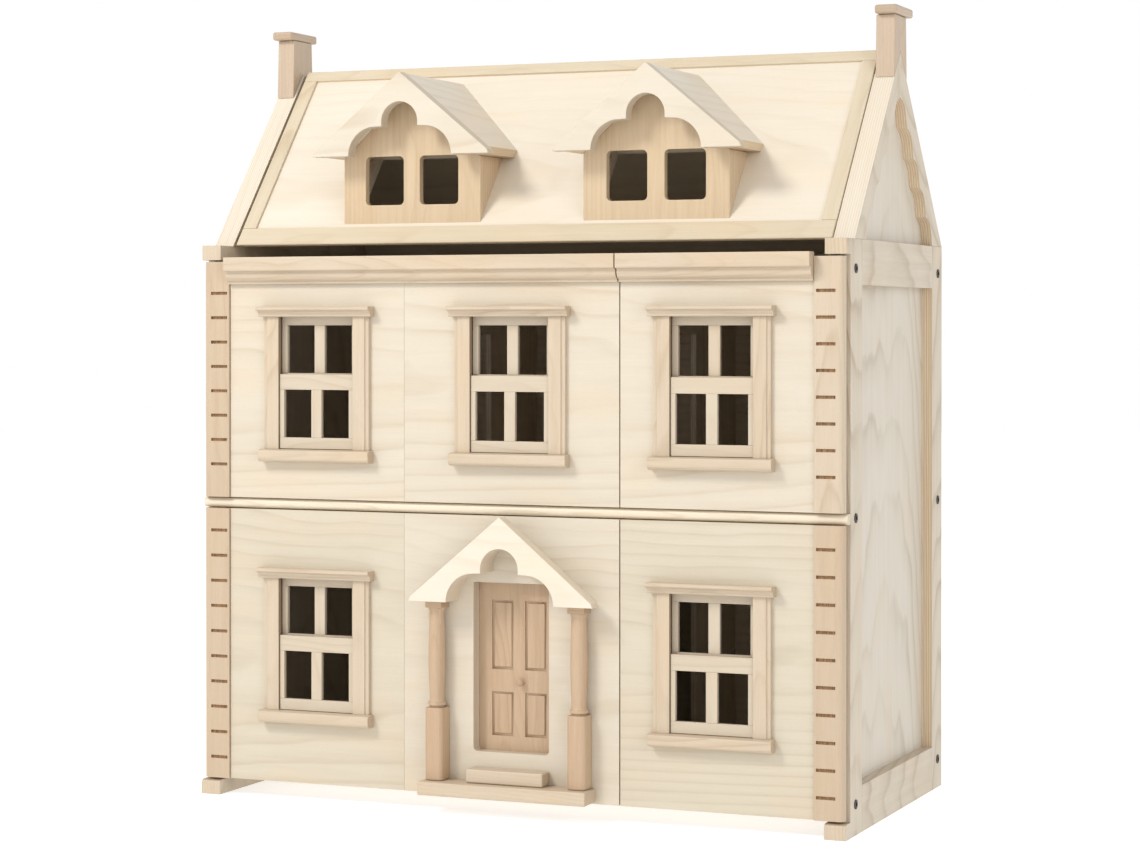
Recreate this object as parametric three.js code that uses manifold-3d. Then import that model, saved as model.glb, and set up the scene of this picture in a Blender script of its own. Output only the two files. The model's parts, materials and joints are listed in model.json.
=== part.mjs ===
// Wooden dollhouse: Victorian front in four door panels, lifting front roof with two dormers.
// Millimetres, +Z up, front towards -Y, origin at the centre of the footprint on the floor.
import * as THREE from 'three';
import { mergeVertices } from 'three/addons/utils/BufferGeometryUtils.js';
import Module from 'manifold-3d';

const wasm = await Module();
wasm.setup();

// ---- driving dimensions -------------------------------------------------------------------
const WIDTH = 640;            // across the two end walls
const DEPTH = 304;            // end wall, front corner to back edge
const WALL = 20;              // end wall: inner board plus face frame
const FRAME = 10;             // thickness of the face frame on an end wall
const GAP = 0.3;              // clearance between touching pieces
const CENTRE_SHIFT = -132.5;  // moves the footprint's middle to Y = 0

const RIDGE_Y = 158;          // gable apex, front to back
const APEX_Z = 699.3;
const EAVES_Z = 523;          // top of the eaves rail
const EAVES_Y = 12;           // where the front slope starts
const SLOPE = (APEX_Z - EAVES_Z) / (RIDGE_Y - EAVES_Y);
const PITCH = Math.atan(SLOPE);

const FOOT_OUT = 14.3;        // foot reaches this far in front of the wall
const FOOT_H = 14;
const BLOCK_OUT = 12;         // eaves block
const BLOCK_H = 14;

const BOARD = 9.6;            // floor boards
const FLOOR_Z = [27.6, 278.3, 496.9];
const FLOOR_FRONT = 8;

const PANEL_FRONT = -10.6;    // face of the door panels
const PANEL_BACK = -1.6;
const STRIP_FRONT = -13;      // face of the notched corner strips
const STRIP_BACK = -1;
const STRIP_IN = 290.5;       // inner edge of a corner strip
const PIN_X = 312;            // door hinge axis, inside the rounded edge of a corner strip
const PIN_Y = (STRIP_FRONT + STRIP_BACK) / 2;
const PIN_R = (STRIP_BACK - STRIP_FRONT) / 2;
const SPLIT_X = 108;          // where the wide and the narrow doors meet
const UPPER_DOOR = [283.7, 507.4];
const LOWER_DOOR = [16, 272.9];

const WIN_W = 78;             // window opening between the jambs
const WIN_X = [-196.5, 1.5, 196.5];
const UPPER_SILL = 318.5;     // underside of the window sills
const LOWER_SILL = 72.5;
const SASH_Z = 12.5;          // underside of the lower sash above the sill's underside
const CAP_Z = 136.5;          // underside of the cap above the sill's underside

const OPEN_X = 1.5;           // middle of the entrance
const OPEN_W = 75;
const OPEN_Z = [57, 212];
const LEAF_Y = [2.4, 7.4];    // entrance door, behind a lining on the back of its panel

const PED_W = 182;            // pediments of the porch and of the dormers are the same piece
const PED_H = 79;
const PED_T = 14;
const PORCH_X = 2;
const PORCH_FRONT = -39;
const PORCH_Z = 195;
const DORMER_X = [-118, 127.5];
const DORMER_W = 142;
const DORMER_FACE = 29;
const DORMER_Z = 544.5;       // underside of a dormer face
const DORMER_PED_Y = 2;
const DORMER_PED_Z = 605.5;
const DORMER_EAVES = 83;      // half width of a dormer's roof behind its pediment
const DORMER_IN = 70;         // half width of the hollow under it
const DORMER_T = 12;          // its thickness at the ridge
const DORMER_LIP = 7.5;       // its thickness at the eaves

const ROOF_X = [-296, 299.6];
const ROOF_T = 12;
const ROOF_STILE = 14;        // frame round the recessed field of the front roof
const ROOF_FOOT = 21;
const ROOF_HEAD = 11;
const FIELD_DEEP = 2.4;
const ROOF_LIFT = 2;          // the front roof stands this far proud of the raking rails
const CHIM_TOP = 732.5;
const CAP_T = 8.5;

// ---- materials ----------------------------------------------------------------------------
const wood = (hex, rough) => new THREE.MeshStandardMaterial({ color: hex, roughness: rough, metalness: 0 });
const PLY = wood(0xf1e3c8, 0.62);
const TRIM = wood(0xe9cfa9, 0.58);
const HONEY = wood(0xe6c999, 0.55);
const WALLWOOD = wood(0xe2d3ba, 0.62);
const TAN = wood(0xcda781, 0.55);
const INNER = wood(0xe8d6b5, 0.66);

const group = new THREE.Group();
const house = new THREE.Group();
house.position.y = CENTRE_SHIFT;
group.add(house);

function put(name, geometry, material) {
  const mesh = new THREE.Mesh(geometry, material);
  mesh.name = name;
  house.add(mesh);
  return mesh;
}

// ---- basic shapes -------------------------------------------------------------------------
function box(x0, x1, y0, y1, z0, z1) {
  const g = new THREE.BoxGeometry(x1 - x0, y1 - y0, z1 - z0);
  return g.translate((x0 + x1) / 2, (y0 + y1) / 2, (z0 + z1) / 2);
}

const shapeOf = (points) => new THREE.Shape(points.map(([a, b]) => new THREE.Vector2(a, b)));
const rect = (a0, a1, b0, b1) => [[a0, b0], [a1, b0], [a1, b1], [a0, b1]];

function extrude(outline, holes, depth) {
  const shape = outline instanceof THREE.Shape ? outline : shapeOf(outline);
  shape.holes = holes.map((h) => (h instanceof THREE.Path ? h : shapeOf(h)));
  return new THREE.ExtrudeGeometry(shape, { depth, bevelEnabled: false, curveSegments: 10 });
}

// outline in (X, Z), running from y0 back to y1
function slabY(outline, holes, y0, y1) {
  const m = new THREE.Matrix4().set(1, 0, 0, 0, 0, 0, -1, y1, 0, 1, 0, 0, 0, 0, 0, 1);
  return extrude(outline, holes, y1 - y0).applyMatrix4(m);
}

// outline in (Y, Z), running from x0 to x1
function slabX(outline, holes, x0, x1) {
  const m = new THREE.Matrix4().set(0, 0, 1, x0, 1, 0, 0, 0, 0, 1, 0, 0, 0, 0, 0, 1);
  return extrude(outline, holes, x1 - x0).applyMatrix4(m);
}

function roundRect(a0, a1, b0, b1, r, steps = 4) {
  const pts = [];
  const corner = (ca, cb, start) => {
    for (let i = 0; i <= steps; i += 1) {
      const t = start + (Math.PI / 2) * (i / steps);
      pts.push([ca + r * Math.cos(t), cb + r * Math.sin(t)]);
    }
  };
  corner(a1 - r, b1 - r, 0);
  corner(a0 + r, b1 - r, Math.PI / 2);
  corner(a0 + r, b0 + r, Math.PI);
  corner(a1 - r, b0 + r, 1.5 * Math.PI);
  return pts;
}

function arc(cx, cy, r, from, to, steps) {
  const pts = [];
  for (let i = 0; i <= steps; i += 1) {
    const t = from + (to - from) * (i / steps);
    pts.push([cx + r * Math.cos(t), cy + r * Math.sin(t)]);
  }
  return pts;
}

// ---- joining and cutting ------------------------------------------------------------------
function solid(geometry) {
  let g = geometry.clone();
  g.deleteAttribute('normal');
  if (g.attributes.uv) g.deleteAttribute('uv');
  g = mergeVertices(g, 1e-4);
  const mesh = new wasm.Mesh({
    numProp: 3,
    vertProperties: new Float32Array(g.attributes.position.array),
    triVerts: new Uint32Array(g.index.array),
  });
  return new wasm.Manifold(mesh);
}

function geometryOf(manifold) {
  const mesh = manifold.getMesh();
  const g = new THREE.BufferGeometry();
  g.setAttribute('position', new THREE.BufferAttribute(new Float32Array(mesh.vertProperties), 3));
  g.setIndex(new THREE.BufferAttribute(new Uint32Array(mesh.triVerts), 1));
  return g;
}

const join = (first, ...rest) => geometryOf(rest.reduce((s, g) => s.add(solid(g)), solid(first)));
const cut = (first, ...tools) => geometryOf(tools.reduce((s, g) => s.subtract(solid(g)), solid(first)));
const mirrored = (side, a, b) => (side > 0 ? [a, b] : [-b, -a]);

// height of the gable slopes at a distance front to back
const rakeZ = (y) => APEX_Z - SLOPE * Math.abs(y - RIDGE_Y);

// ---- end walls ----------------------------------------------------------------------------
const STILE_F = 34.9;
const STILE_R = 269.5;
const RAIL_LOW = 41.5;
const RAIL_EAVES = 482.5;
const RAKE_W = 27;            // raking rail at its points
const SCALLOPS = 5;
const SCALLOP_DEEP = 6.5;

// one scalloped raking edge, from the apex of the recess down to its bottom corner
function scallopEdge(side) {
  const top = APEX_Z - RAKE_W / Math.cos(PITCH);
  const from = new THREE.Vector2(RIDGE_Y, top);
  const to = new THREE.Vector2(RIDGE_Y + side * (top - EAVES_Z) / SLOPE, EAVES_Z);
  const along = to.clone().sub(from);
  const out = new THREE.Vector2(side * Math.sin(PITCH), Math.cos(PITCH));
  const pts = [];
  for (let k = 0; k < SCALLOPS; k += 1) {
    for (let i = k === 0 ? 0 : 1; i <= 6; i += 1) {
      const t = (k + i / 6) / SCALLOPS;
      const bulge = SCALLOP_DEEP * Math.sin((Math.PI * i) / 6) * (1.25 - 0.5 * (i / 6));
      pts.push([from.x + along.x * t + out.x * bulge, from.y + along.y * t + out.y * bulge]);
    }
  }
  return pts;
}

for (const side of [-1, 1]) {
  const tag = side < 0 ? 'left' : 'right';
  const [f0, f1] = mirrored(side, WIDTH / 2 - FRAME, WIDTH / 2);
  const outline = [
    [-FOOT_OUT + 4, FOOT_H], [-FOOT_OUT + 1.2, FOOT_H - 1.2], [-FOOT_OUT, FOOT_H - 4], [-FOOT_OUT, 0],
    [DEPTH, 0],
    [DEPTH, EAVES_Z], [RIDGE_Y, APEX_Z], [EAVES_Y, EAVES_Z], [-BLOCK_OUT, EAVES_Z],
    [-BLOCK_OUT, EAVES_Z - BLOCK_H], [0, EAVES_Z - BLOCK_H], [0, FOOT_H],
  ];
  const low = rect(STILE_F, STILE_R, RAIL_LOW, RAIL_EAVES);
  const gable = [...scallopEdge(1), ...scallopEdge(-1).reverse().slice(0, -1)];
  const openings = [low, gable].map((h) => slabX(h, [], f0 - 1, f1 + 1));
  put(`face_frame_${tag}`, cut(slabX(outline, [], f0, f1), ...openings), WALLWOOD);
  const [b0, b1] = mirrored(side, WIDTH / 2 - WALL, WIDTH / 2 - FRAME - GAP);
  put(`end_board_${tag}`, slabX(outline, [], b0, b1), WALLWOOD);
}

// ---- floors, belt, back -------------------------------------------------------------------
const INNER_W = WIDTH / 2 - WALL - GAP;
const STAIR = { x0: 2, x1: 98, y0: 196, y1: 288, wide: 48 };
const floorNames = ['ground_floor', 'first_floor', 'attic_floor'];
FLOOR_Z.forEach((mid, level) => {
  const [z0, z1] = [mid - BOARD / 2, mid + BOARD / 2];
  const front = level === 1 ? GAP : FLOOR_FRONT;
  const hole = rect(STAIR.x0, STAIR.x1, STAIR.y1 - STAIR.wide, STAIR.y1);
  const outline = rect(-INNER_W, INNER_W, front, DEPTH - 8);
  const g = extrude(outline, level === 1 ? [hole] : [], z1 - z0).translate(0, 0, z0);
  put(floorNames[level], g, INNER);
});

const beltZ = [FLOOR_Z[1] - BOARD / 2, FLOOR_Z[1] + BOARD / 2];
const beltNose = arc(-4.2, FLOOR_Z[1], BOARD / 2, Math.PI / 2, 1.5 * Math.PI, 8);
const beltLine = [...beltNose, [-GAP, beltZ[0]], [-GAP, beltZ[1]]];
put('belt_moulding', slabX(beltLine, [], -WIDTH / 2, WIDTH / 2), HONEY);
put('back_panel', box(-INNER_W, INNER_W, DEPTH - 7.6, DEPTH - 2.6, 18, EAVES_Z - 15), INNER);

// ---- fixed rear roof and ridge beam -------------------------------------------------------
const vertT = (t) => t / Math.cos(PITCH);
const REAR_LIFT = 1.5;        // the rear roof stands this far above the raking rails
const rearTop = [APEX_Z + REAR_LIFT - SLOPE * GAP, EAVES_Z + REAR_LIFT];
put('rear_roof', slabX([
  [RIDGE_Y + GAP, rearTop[0]], [DEPTH, rearTop[1]], [DEPTH, rearTop[1] - vertT(BOARD)],
  [RIDGE_Y + GAP, rearTop[0] - vertT(BOARD)],
], [], -INNER_W, INNER_W), PLY);
const BEAM = { y: [RIDGE_Y + 2, RIDGE_Y + 14], z: 654, under: 14.2 };
const beamTop = BEAM.y.map((y) => rakeZ(y) - BEAM.under);
put('ridge_beam', slabX([
  [BEAM.y[0], beamTop[0]], [BEAM.y[0], BEAM.z], [BEAM.y[1], BEAM.z], [BEAM.y[1], beamTop[1]],
], [], -INNER_W, INNER_W), INNER);

// ---- chimneys -----------------------------------------------------------------------------
for (const side of [-1, 1]) {
  const tag = side < 0 ? 'left' : 'right';
  const [x0, x1] = mirrored(side, WIDTH / 2 - 18, WIDTH / 2);
  const [a, b] = [RIDGE_Y - 21, RIDGE_Y + 21];
  const stack = [
    [a, rakeZ(a) + GAP * 2], [RIDGE_Y, APEX_Z + GAP * 2], [b, rakeZ(b) + GAP * 2],
    [b - 2.5, CHIM_TOP], [a + 2.5, CHIM_TOP],
  ];
  put(`chimney_${tag}`, slabX(stack, [], x0, x1), TAN);
  const cap = roundRect(RIDGE_Y - 25, RIDGE_Y + 30, CHIM_TOP + GAP, CHIM_TOP + CAP_T, 2.2, 2);
  const [c0, c1] = mirrored(side, WIDTH / 2 - 18, WIDTH / 2 + 3.5);
  put(`chimney_cap_${tag}`, slabX(cap, [], c0, c1), TAN);
}

// ---- partitions and staircase -------------------------------------------------------------
const DOORWAY = { w: 62, h: 155 };
[[0, 'ground'], [1, 'first']].forEach(([level, word]) => {
  const z0 = FLOOR_Z[level] + BOARD / 2 + GAP;
  const z1 = FLOOR_Z[level + 1] - BOARD / 2 - GAP;
  const hole = rect(120, 120 + DOORWAY.w, z0 - 1, z0 + DOORWAY.h);
  const outline = [[26, z0], [120, z0], [120, z0 + DOORWAY.h], [120 + DOORWAY.w, z0 + DOORWAY.h],
    [120 + DOORWAY.w, z0], [DEPTH - 8, z0], [DEPTH - 8, z1], [26, z1]];
  put(`partition_${word}_left`, slabX(outline, [], -SPLIT_X - 3, -SPLIT_X + 3), INNER);
  put(`partition_${word}_right`, slabX(outline, [], SPLIT_X - 3, SPLIT_X + 3), INNER);
});

const steps = 12;
const stairZ = FLOOR_Z[0] + BOARD / 2 + GAP;
const rise = (FLOOR_Z[1] + BOARD / 2 - stairZ) / steps;
const run = 15.5;
const stairStart = -92;
const treads = [];
for (let i = 0; i < steps; i += 1) {
  treads.push([stairStart + run * i, stairZ + rise * i], [stairStart + run * i, stairZ + rise * (i + 1)]);
}
const stairTop = stairStart + run * steps;
const stairs = [...treads, [stairTop, stairZ + rise * steps], [stairTop, stairZ + rise * steps - 24],
  [stairStart + run * 1.6, stairZ]];
put('staircase', slabY(stairs, [], STAIR.y1 - STAIR.wide + 3, STAIR.y1 - 1), TRIM);

// ---- window units -------------------------------------------------------------------------
const PANE = { w: 28.6, h: 45, bar: 10.8 };
function panes(x, z) {
  const left = x - PANE.bar / 2 - PANE.w;
  const right = x + PANE.bar / 2;
  return [left, right].map((a) => box(a, a + PANE.w, -15, 0, z, z + PANE.h));
}

// casing with cap and sill around the opening; the fixed upper sash sits behind the sliding one
function windowUnit(x, z) {
  const half = WIN_W / 2;
  const jambs = slabY(rect(x - half - 16, x + half + 16, z + 8, z + CAP_Z + 2), [
    rect(x - half, x + half, z + 12.2, z + CAP_Z)], -16, PANEL_FRONT - GAP);
  const cap = slabX([
    [PANEL_FRONT - GAP, z + CAP_Z], [-19.5, z + CAP_Z], [-20, z + CAP_Z + 4], [-23.5, z + CAP_Z + 6],
    [-24.5, z + CAP_Z + 9.5], [PANEL_FRONT - GAP, z + CAP_Z + 9.5],
  ], [], x - half - 20, x + half + 20);
  const sill = slabX([[PANEL_FRONT - GAP, z], [-18.5, z], [-22, z + 4.5], [-22.5, z + 10.5],
    [-16, z + 12], [PANEL_FRONT - GAP, z + 12]], [], x - half - 19, x + half + 19);
  const lining = slabY(rect(x - 43.2, x + 43.2, z + 8.3, z + CAP_Z + 2.7), [
    rect(x - 41, x + 41, z + 12.2, z + CAP_Z + 0.5)], -10.9, -2);
  const sash = box(x - 42, x + 42, -7.6, -3, z + 74, z + CAP_Z + 1.5);
  return cut(join(jambs, cap, sill, lining, sash), ...panes(x, z + 83.5));
}

// sliding lower sash: a face between the jambs and a wider back that runs behind them
function lowerSash(x, z) {
  const half = WIN_W / 2 - 0.4;
  const z0 = z + SASH_Z;
  const face = box(x - half, x + half, -14, -9.9, z0, z0 + 70);
  const back = box(x - 40.6, x + 40.6, -10.5, -8.1, z0, z0 + 70);
  return cut(join(face, back), ...panes(x, z0 + 10.5));
}

function panelHole(x, z) {
  return rect(x - 43.5, x + 43.5, z + 8, z + CAP_Z + 3);
}

const windows = [
  { id: 1, x: WIN_X[0], z: UPPER_SILL }, { id: 2, x: WIN_X[1], z: UPPER_SILL },
  { id: 3, x: WIN_X[2], z: UPPER_SILL },
  { id: 4, x: WIN_X[0], z: LOWER_SILL }, { id: 5, x: WIN_X[2], z: LOWER_SILL },
];
for (const w of windows) {
  put(`window_${w.id}_casing`, windowUnit(w.x, w.z), TRIM);
  put(`window_${w.id}_sash`, lowerSash(w.x, w.z), PLY);
}

// ---- door panels, corner strips, cornices --------------------------------------------------
const opening = [
  ...arc(OPEN_X - OPEN_W / 2 + 4, OPEN_Z[0] + 4, 4, Math.PI, 1.5 * Math.PI, 3),
  ...arc(OPEN_X + OPEN_W / 2 - 4, OPEN_Z[0] + 4, 4, 1.5 * Math.PI, 2 * Math.PI, 3),
  [OPEN_X + OPEN_W / 2, OPEN_Z[1]], [OPEN_X - OPEN_W / 2, OPEN_Z[1]],
];
const leftLeaf = [-STRIP_IN + GAP, SPLIT_X - 0.5];
const rightLeaf = [SPLIT_X + 0.5, STRIP_IN - GAP];
const doors = [
  { name: 'upper_left', x: leftLeaf, z: UPPER_DOOR, holes: windows.slice(0, 2) },
  { name: 'upper_right', x: rightLeaf, z: UPPER_DOOR, holes: windows.slice(2, 3) },
  { name: 'lower_left', x: leftLeaf, z: LOWER_DOOR, holes: windows.slice(3, 4), entry: true },
  { name: 'lower_right', x: rightLeaf, z: LOWER_DOOR, holes: windows.slice(4, 5) },
];
for (const d of doors) {
  const holes = d.holes.map((w) => panelHole(w.x, w.z));
  if (d.entry) holes.push(opening);
  const tools = holes.map((h) => slabY(h, [], PANEL_FRONT - 1, LEAF_Y[0] + 1));
  const board = box(d.x[0], d.x[1], PANEL_FRONT, PANEL_BACK, d.z[0], d.z[1]);
  const lining = box(OPEN_X - OPEN_W / 2 - 9, OPEN_X + OPEN_W / 2 + 9, PANEL_BACK - 1, LEAF_Y[0] - GAP,
    OPEN_Z[0] - 9, OPEN_Z[1] + 9);
  put(`door_${d.name}`, cut(d.entry ? join(board, lining) : board, ...tools), PLY);
}

// strip with an outer edge rounded about the hinge pin and a row of notches across its face
const NOTCH = { half: 1.4, deep: 2, end: 2 };
function cornerStrip(side, z0, z1, firstNotch, pitch, count) {
  const half = arc(0, 0, PIN_R, Math.PI / 2, -Math.PI / 2, 10);
  const path = [
    [STRIP_IN, STRIP_FRONT], [STRIP_IN, STRIP_BACK], ...half.map(([a, b]) => [PIN_X + a, PIN_Y + b]),
  ].map(([x, y]) => [side * x, y]);
  const body = extrude(path, [], z1 - z0).translate(0, 0, z0);
  const notches = [];
  for (let i = 0; i < count; i += 1) {
    const z = firstNotch + pitch * i;
    const [a, b] = mirrored(side, STRIP_IN + NOTCH.end, PIN_X - NOTCH.end);
    notches.push(box(a, b, STRIP_FRONT - 1, STRIP_FRONT + NOTCH.deep, z - NOTCH.half, z + NOTCH.half));
  }
  return cut(body, ...notches);
}
for (const side of [-1, 1]) {
  const tag = side < 0 ? 'left' : 'right';
  put(`corner_strip_upper_${tag}`, cornerStrip(side, UPPER_DOOR[0], UPPER_DOOR[1], 315, 23.2, 8), TRIM);
  put(`corner_strip_lower_${tag}`, cornerStrip(side, LOWER_DOOR[0], LOWER_DOOR[1], 36, 24, 10), TRIM);
}

const cornice = [[PANEL_FRONT - GAP, 485.8], [-13.2, 485.8], [-16.2, 487.2], [-18.8, 490], [-20.2, 493.4],
  [-20.6, 497.2], [-24, 498.2], [-25, 499.2], [-25, 511.3], [PANEL_FRONT - GAP, 511.3]];
put('cornice_left', slabX(cornice, [], -STRIP_IN + GAP, SPLIT_X - 0.5), TRIM);
put('cornice_right', slabX(cornice, [], SPLIT_X + 0.5, STRIP_IN - GAP), TRIM);

// ---- entrance door ------------------------------------------------------------------------
const leafX = [OPEN_X - OPEN_W / 2 - 3, OPEN_X + OPEN_W / 2 + 3];
const leafZ = [OPEN_Z[0] - 3, OPEN_Z[1] + 3];
const sunk = [];
for (const x of [OPEN_X - 24.5, OPEN_X + 8.5]) {
  sunk.push(box(x, x + 21.5, LEAF_Y[0] - 1, LEAF_Y[0] + 1.6, 131.5, 195));
  sunk.push(box(x, x + 21.5, LEAF_Y[0] - 1, LEAF_Y[0] + 1.6, 70.5, 111));
}
const leaf = box(leafX[0], leafX[1], LEAF_Y[0], LEAF_Y[1], leafZ[0], leafZ[1]);
put('entrance_door', cut(leaf, ...sunk), TAN);
const knobProfile = [[0, 0], [1.6, 0], [1.6, 2.2], [3, 3.4], [3.4, 5], [2.6, 6.4], [0, 6.9]];
const knob = new THREE.LatheGeometry(knobProfile.map(([r, h]) => new THREE.Vector2(r, h)), 14);
put('entrance_knob', knob.rotateX(Math.PI).translate(OPEN_X + 5.5, LEAF_Y[0] - GAP, 120.5), TAN);

// ---- pediment with a three-lobed arch ------------------------------------------------------
// outline about its own middle, base at height 0
function pedimentOutline(w, h) {
  const lobeR = 18.4;
  const lobeZ = 50 - lobeR;
  const shoulder = 53;
  const left = [...arc(-shoulder + 27, 0, 27, Math.PI, Math.PI / 2, 9), [-lobeR, 27.4]];
  const right = left.map(([a, b]) => [-a, b]).reverse();
  const arch = [...left, ...arc(0, lobeZ, lobeR, Math.PI, 0, 18), ...right];
  return [[-w / 2, 0], ...arch, [w / 2, 0], [w / 2 - 1.5, 4], [0, h], [-w / 2 + 1.5, 4]];
}
const moved = (points, dx, dz) => points.map(([a, b]) => [a + dx, b + dz]);

const porchFace = moved(pedimentOutline(PED_W, PED_H), PORCH_X, PORCH_Z);
const porchBoard = slabY(porchFace, [], PORCH_FRONT, PORCH_FRONT + PED_T);
const porchBody = slabY(moved(pedimentOutline(PED_W - 14, PED_H - 8), PORCH_X, PORCH_Z), [],
  PORCH_FRONT + PED_T - 1, PANEL_FRONT - GAP);
put('porch_pediment', join(porchBoard, porchBody), PLY);

// ---- porch posts and steps -----------------------------------------------------------------
const POST_OUT = 70.5;
const POST_Y = -20;
function post(x) {
  const c = 2.4;
  const h = 8.8;
  const plan = [[-h + c, -h], [h - c, -h], [h, -h + c], [h, h], [-h, h], [-h, -h + c]];
  const foot = extrude(plan, [], 66.5).translate(0, 0, 30.5);
  const profile = [
    [0, 60], [8.8, 60], [8.8, 97], [7, 98.4], [8.6, 100.2], [7.4, 102.5], [6.6, 106], [7.2, 116],
    [7.9, 140], [7.6, 165], [7, 182], [6.8, 185.5], [8, 187], [8, 194.6], [0, 194.6],
  ];
  const turned = new THREE.LatheGeometry(profile.map(([r, z]) => new THREE.Vector2(r * 0.98, z)), 28);
  return join(foot, turned.rotateX(Math.PI / 2)).translate(x, POST_Y, 0);
}
put('porch_post_left', post(PORCH_X - POST_OUT), TAN);
put('porch_post_right', post(PORCH_X + POST_OUT), TAN);

const stepX = [PORCH_X - 83, PORCH_X + 83];
put('porch_step', slabX(roundRect(-37.5, PANEL_FRONT - GAP, 17.5, 30.2, 2, 2), [], ...stepX), HONEY);
put('doorstep', slabX(roundRect(-28.5, PANEL_FRONT - GAP, 30.5, 43, 2, 2), [], -36, 40), HONEY);

// ---- front roof panel -----------------------------------------------------------------------
// local frame: u runs up the slope from the lower edge, v points out of the slope
const ROOF_LEN = (RIDGE_Y - EAVES_Y) / Math.cos(PITCH);
const slopeFrame = new THREE.Matrix4().makeBasis(
  new THREE.Vector3(1, 0, 0),
  new THREE.Vector3(0, Math.cos(PITCH), Math.sin(PITCH)),
  new THREE.Vector3(0, -Math.sin(PITCH), Math.cos(PITCH)),
).setPosition(0, EAVES_Y, EAVES_Z);

const dormerHoles = DORMER_X.map((x) => {
  const half = DORMER_W / 2 - 8.5;
  return box(x - half, x + half, 30, 118, -20, 10);
});
const roofBase = extrude(rect(...ROOF_X, 0, ROOF_LEN), [], ROOF_T - FIELD_DEEP)
  .translate(0, 0, ROOF_LIFT - ROOF_T);
const field = rect(ROOF_X[0] + ROOF_STILE, ROOF_X[1] - ROOF_STILE, ROOF_FOOT, ROOF_LEN - ROOF_HEAD);
const roofFrame = extrude(rect(...ROOF_X, 0, ROOF_LEN), [field], 4).translate(0, 0, ROOF_LIFT - 4);
const ridgeTrim = box(-400, 400, RIDGE_Y - GAP, RIDGE_Y + 60, 500, 800);
const eavesTrim = box(-400, 400, -100, EAVES_Y + 60, 400, EAVES_Z - GAP);
const roofPanel = cut(join(roofBase, roofFrame), ...dormerHoles).applyMatrix4(slopeFrame);
put('roof_panel', cut(roofPanel, ridgeTrim, eavesTrim), HONEY);

// ---- dormers --------------------------------------------------------------------------------
// upper face of the recessed roof field, as a cutting block below everything on the roof
const fieldTop = ROOF_LIFT - FIELD_DEEP + GAP;
const underRoof = box(-400, 400, -200, 400, -200, fieldTop).applyMatrix4(slopeFrame);
for (const [i, x] of DORMER_X.entries()) {
  const half = DORMER_W / 2;
  const [z0, z1] = [DORMER_Z - 14, DORMER_PED_Z - 0.5];
  const light = (cx) => roundRect(cx - 19.8, cx + 19.8, DORMER_Z + 16, DORMER_Z + 61.7, 4.5, 5);
  const rise = PED_H - 1;
  const faceTop = [[x - half, z0], [x + half, z0], [x + half, z1], [x + DORMER_IN - GAP * 2, z1],
    [x, z1 + rise - DORMER_T - GAP], [x - DORMER_IN + GAP * 2, z1], [x - half, z1]];
  const lights = [-28.3, 28.3].map((dx) => slabY(light(x + dx), [], DORMER_FACE - 1, DORMER_FACE + 9));
  const face = slabY(faceTop, [], DORMER_FACE, DORMER_FACE + 8);
  const cheek = (a) => slabX(rect(DORMER_FACE + 1, 120, z0, z1), [], a, a + 8);
  const body = join(face, cheek(x - half), cheek(x + half - 8));
  put(`dormer_${i + 1}_body`, cut(body, ...lights, underRoof), TRIM);

  const gable = moved(pedimentOutline(PED_W, rise), x, DORMER_PED_Z);
  const board = slabY(gable, [], DORMER_PED_Y, DORMER_PED_Y + PED_T);
  const hollow = [
    [-DORMER_EAVES, 0], [-DORMER_IN, 0], [0, rise - DORMER_T], [DORMER_IN, 0], [DORMER_EAVES, 0],
    [DORMER_EAVES, DORMER_LIP], [0, rise - 0.4], [-DORMER_EAVES, DORMER_LIP],
  ];
  const shell = slabY(moved(hollow, x, DORMER_PED_Z), [], DORMER_PED_Y + PED_T - 1, 170);
  put(`dormer_${i + 1}_roof`, cut(join(board, shell), underRoof), PLY);
}

export default group;
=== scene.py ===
"""Wooden dollhouse: the visible pieces, their woods and the studio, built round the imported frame."""
import json
import math
import random

import bmesh
import bpy
from bpy.props import FloatProperty, FloatVectorProperty, IntProperty, PointerProperty
from mathutils import Matrix, Vector


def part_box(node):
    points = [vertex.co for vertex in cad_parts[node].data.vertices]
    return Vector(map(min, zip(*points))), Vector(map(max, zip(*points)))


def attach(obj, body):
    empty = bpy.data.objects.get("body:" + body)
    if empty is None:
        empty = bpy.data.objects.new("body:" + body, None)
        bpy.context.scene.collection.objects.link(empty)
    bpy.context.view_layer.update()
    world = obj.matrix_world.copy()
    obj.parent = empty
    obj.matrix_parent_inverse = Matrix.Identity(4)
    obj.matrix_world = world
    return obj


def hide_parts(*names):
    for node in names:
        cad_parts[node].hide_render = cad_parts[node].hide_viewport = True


bl_info = {
    "name": "Wooden Dollhouse",
    "version": (1, 0),
    "blender": (4, 5, 0),
    "location": "View3D > Sidebar > Dollhouse",
    "description": "Builds a wooden dollhouse with hinged doors, sash windows, porch and dormers",
    "category": "Add Mesh",
}

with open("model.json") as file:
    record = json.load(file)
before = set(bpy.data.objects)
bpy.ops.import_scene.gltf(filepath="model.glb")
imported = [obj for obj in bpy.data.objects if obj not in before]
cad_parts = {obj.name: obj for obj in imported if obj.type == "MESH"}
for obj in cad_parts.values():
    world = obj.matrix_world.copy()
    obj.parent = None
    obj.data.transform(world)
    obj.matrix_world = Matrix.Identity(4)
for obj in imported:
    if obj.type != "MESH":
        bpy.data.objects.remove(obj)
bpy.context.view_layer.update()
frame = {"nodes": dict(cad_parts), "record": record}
MM = 0.001
X, Y, Z = 0, 1, 2


def span(node):
    """Lowest and highest corner of a CAD node, in millimetres."""
    low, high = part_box(node)
    return low / MM, high / MM


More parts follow.
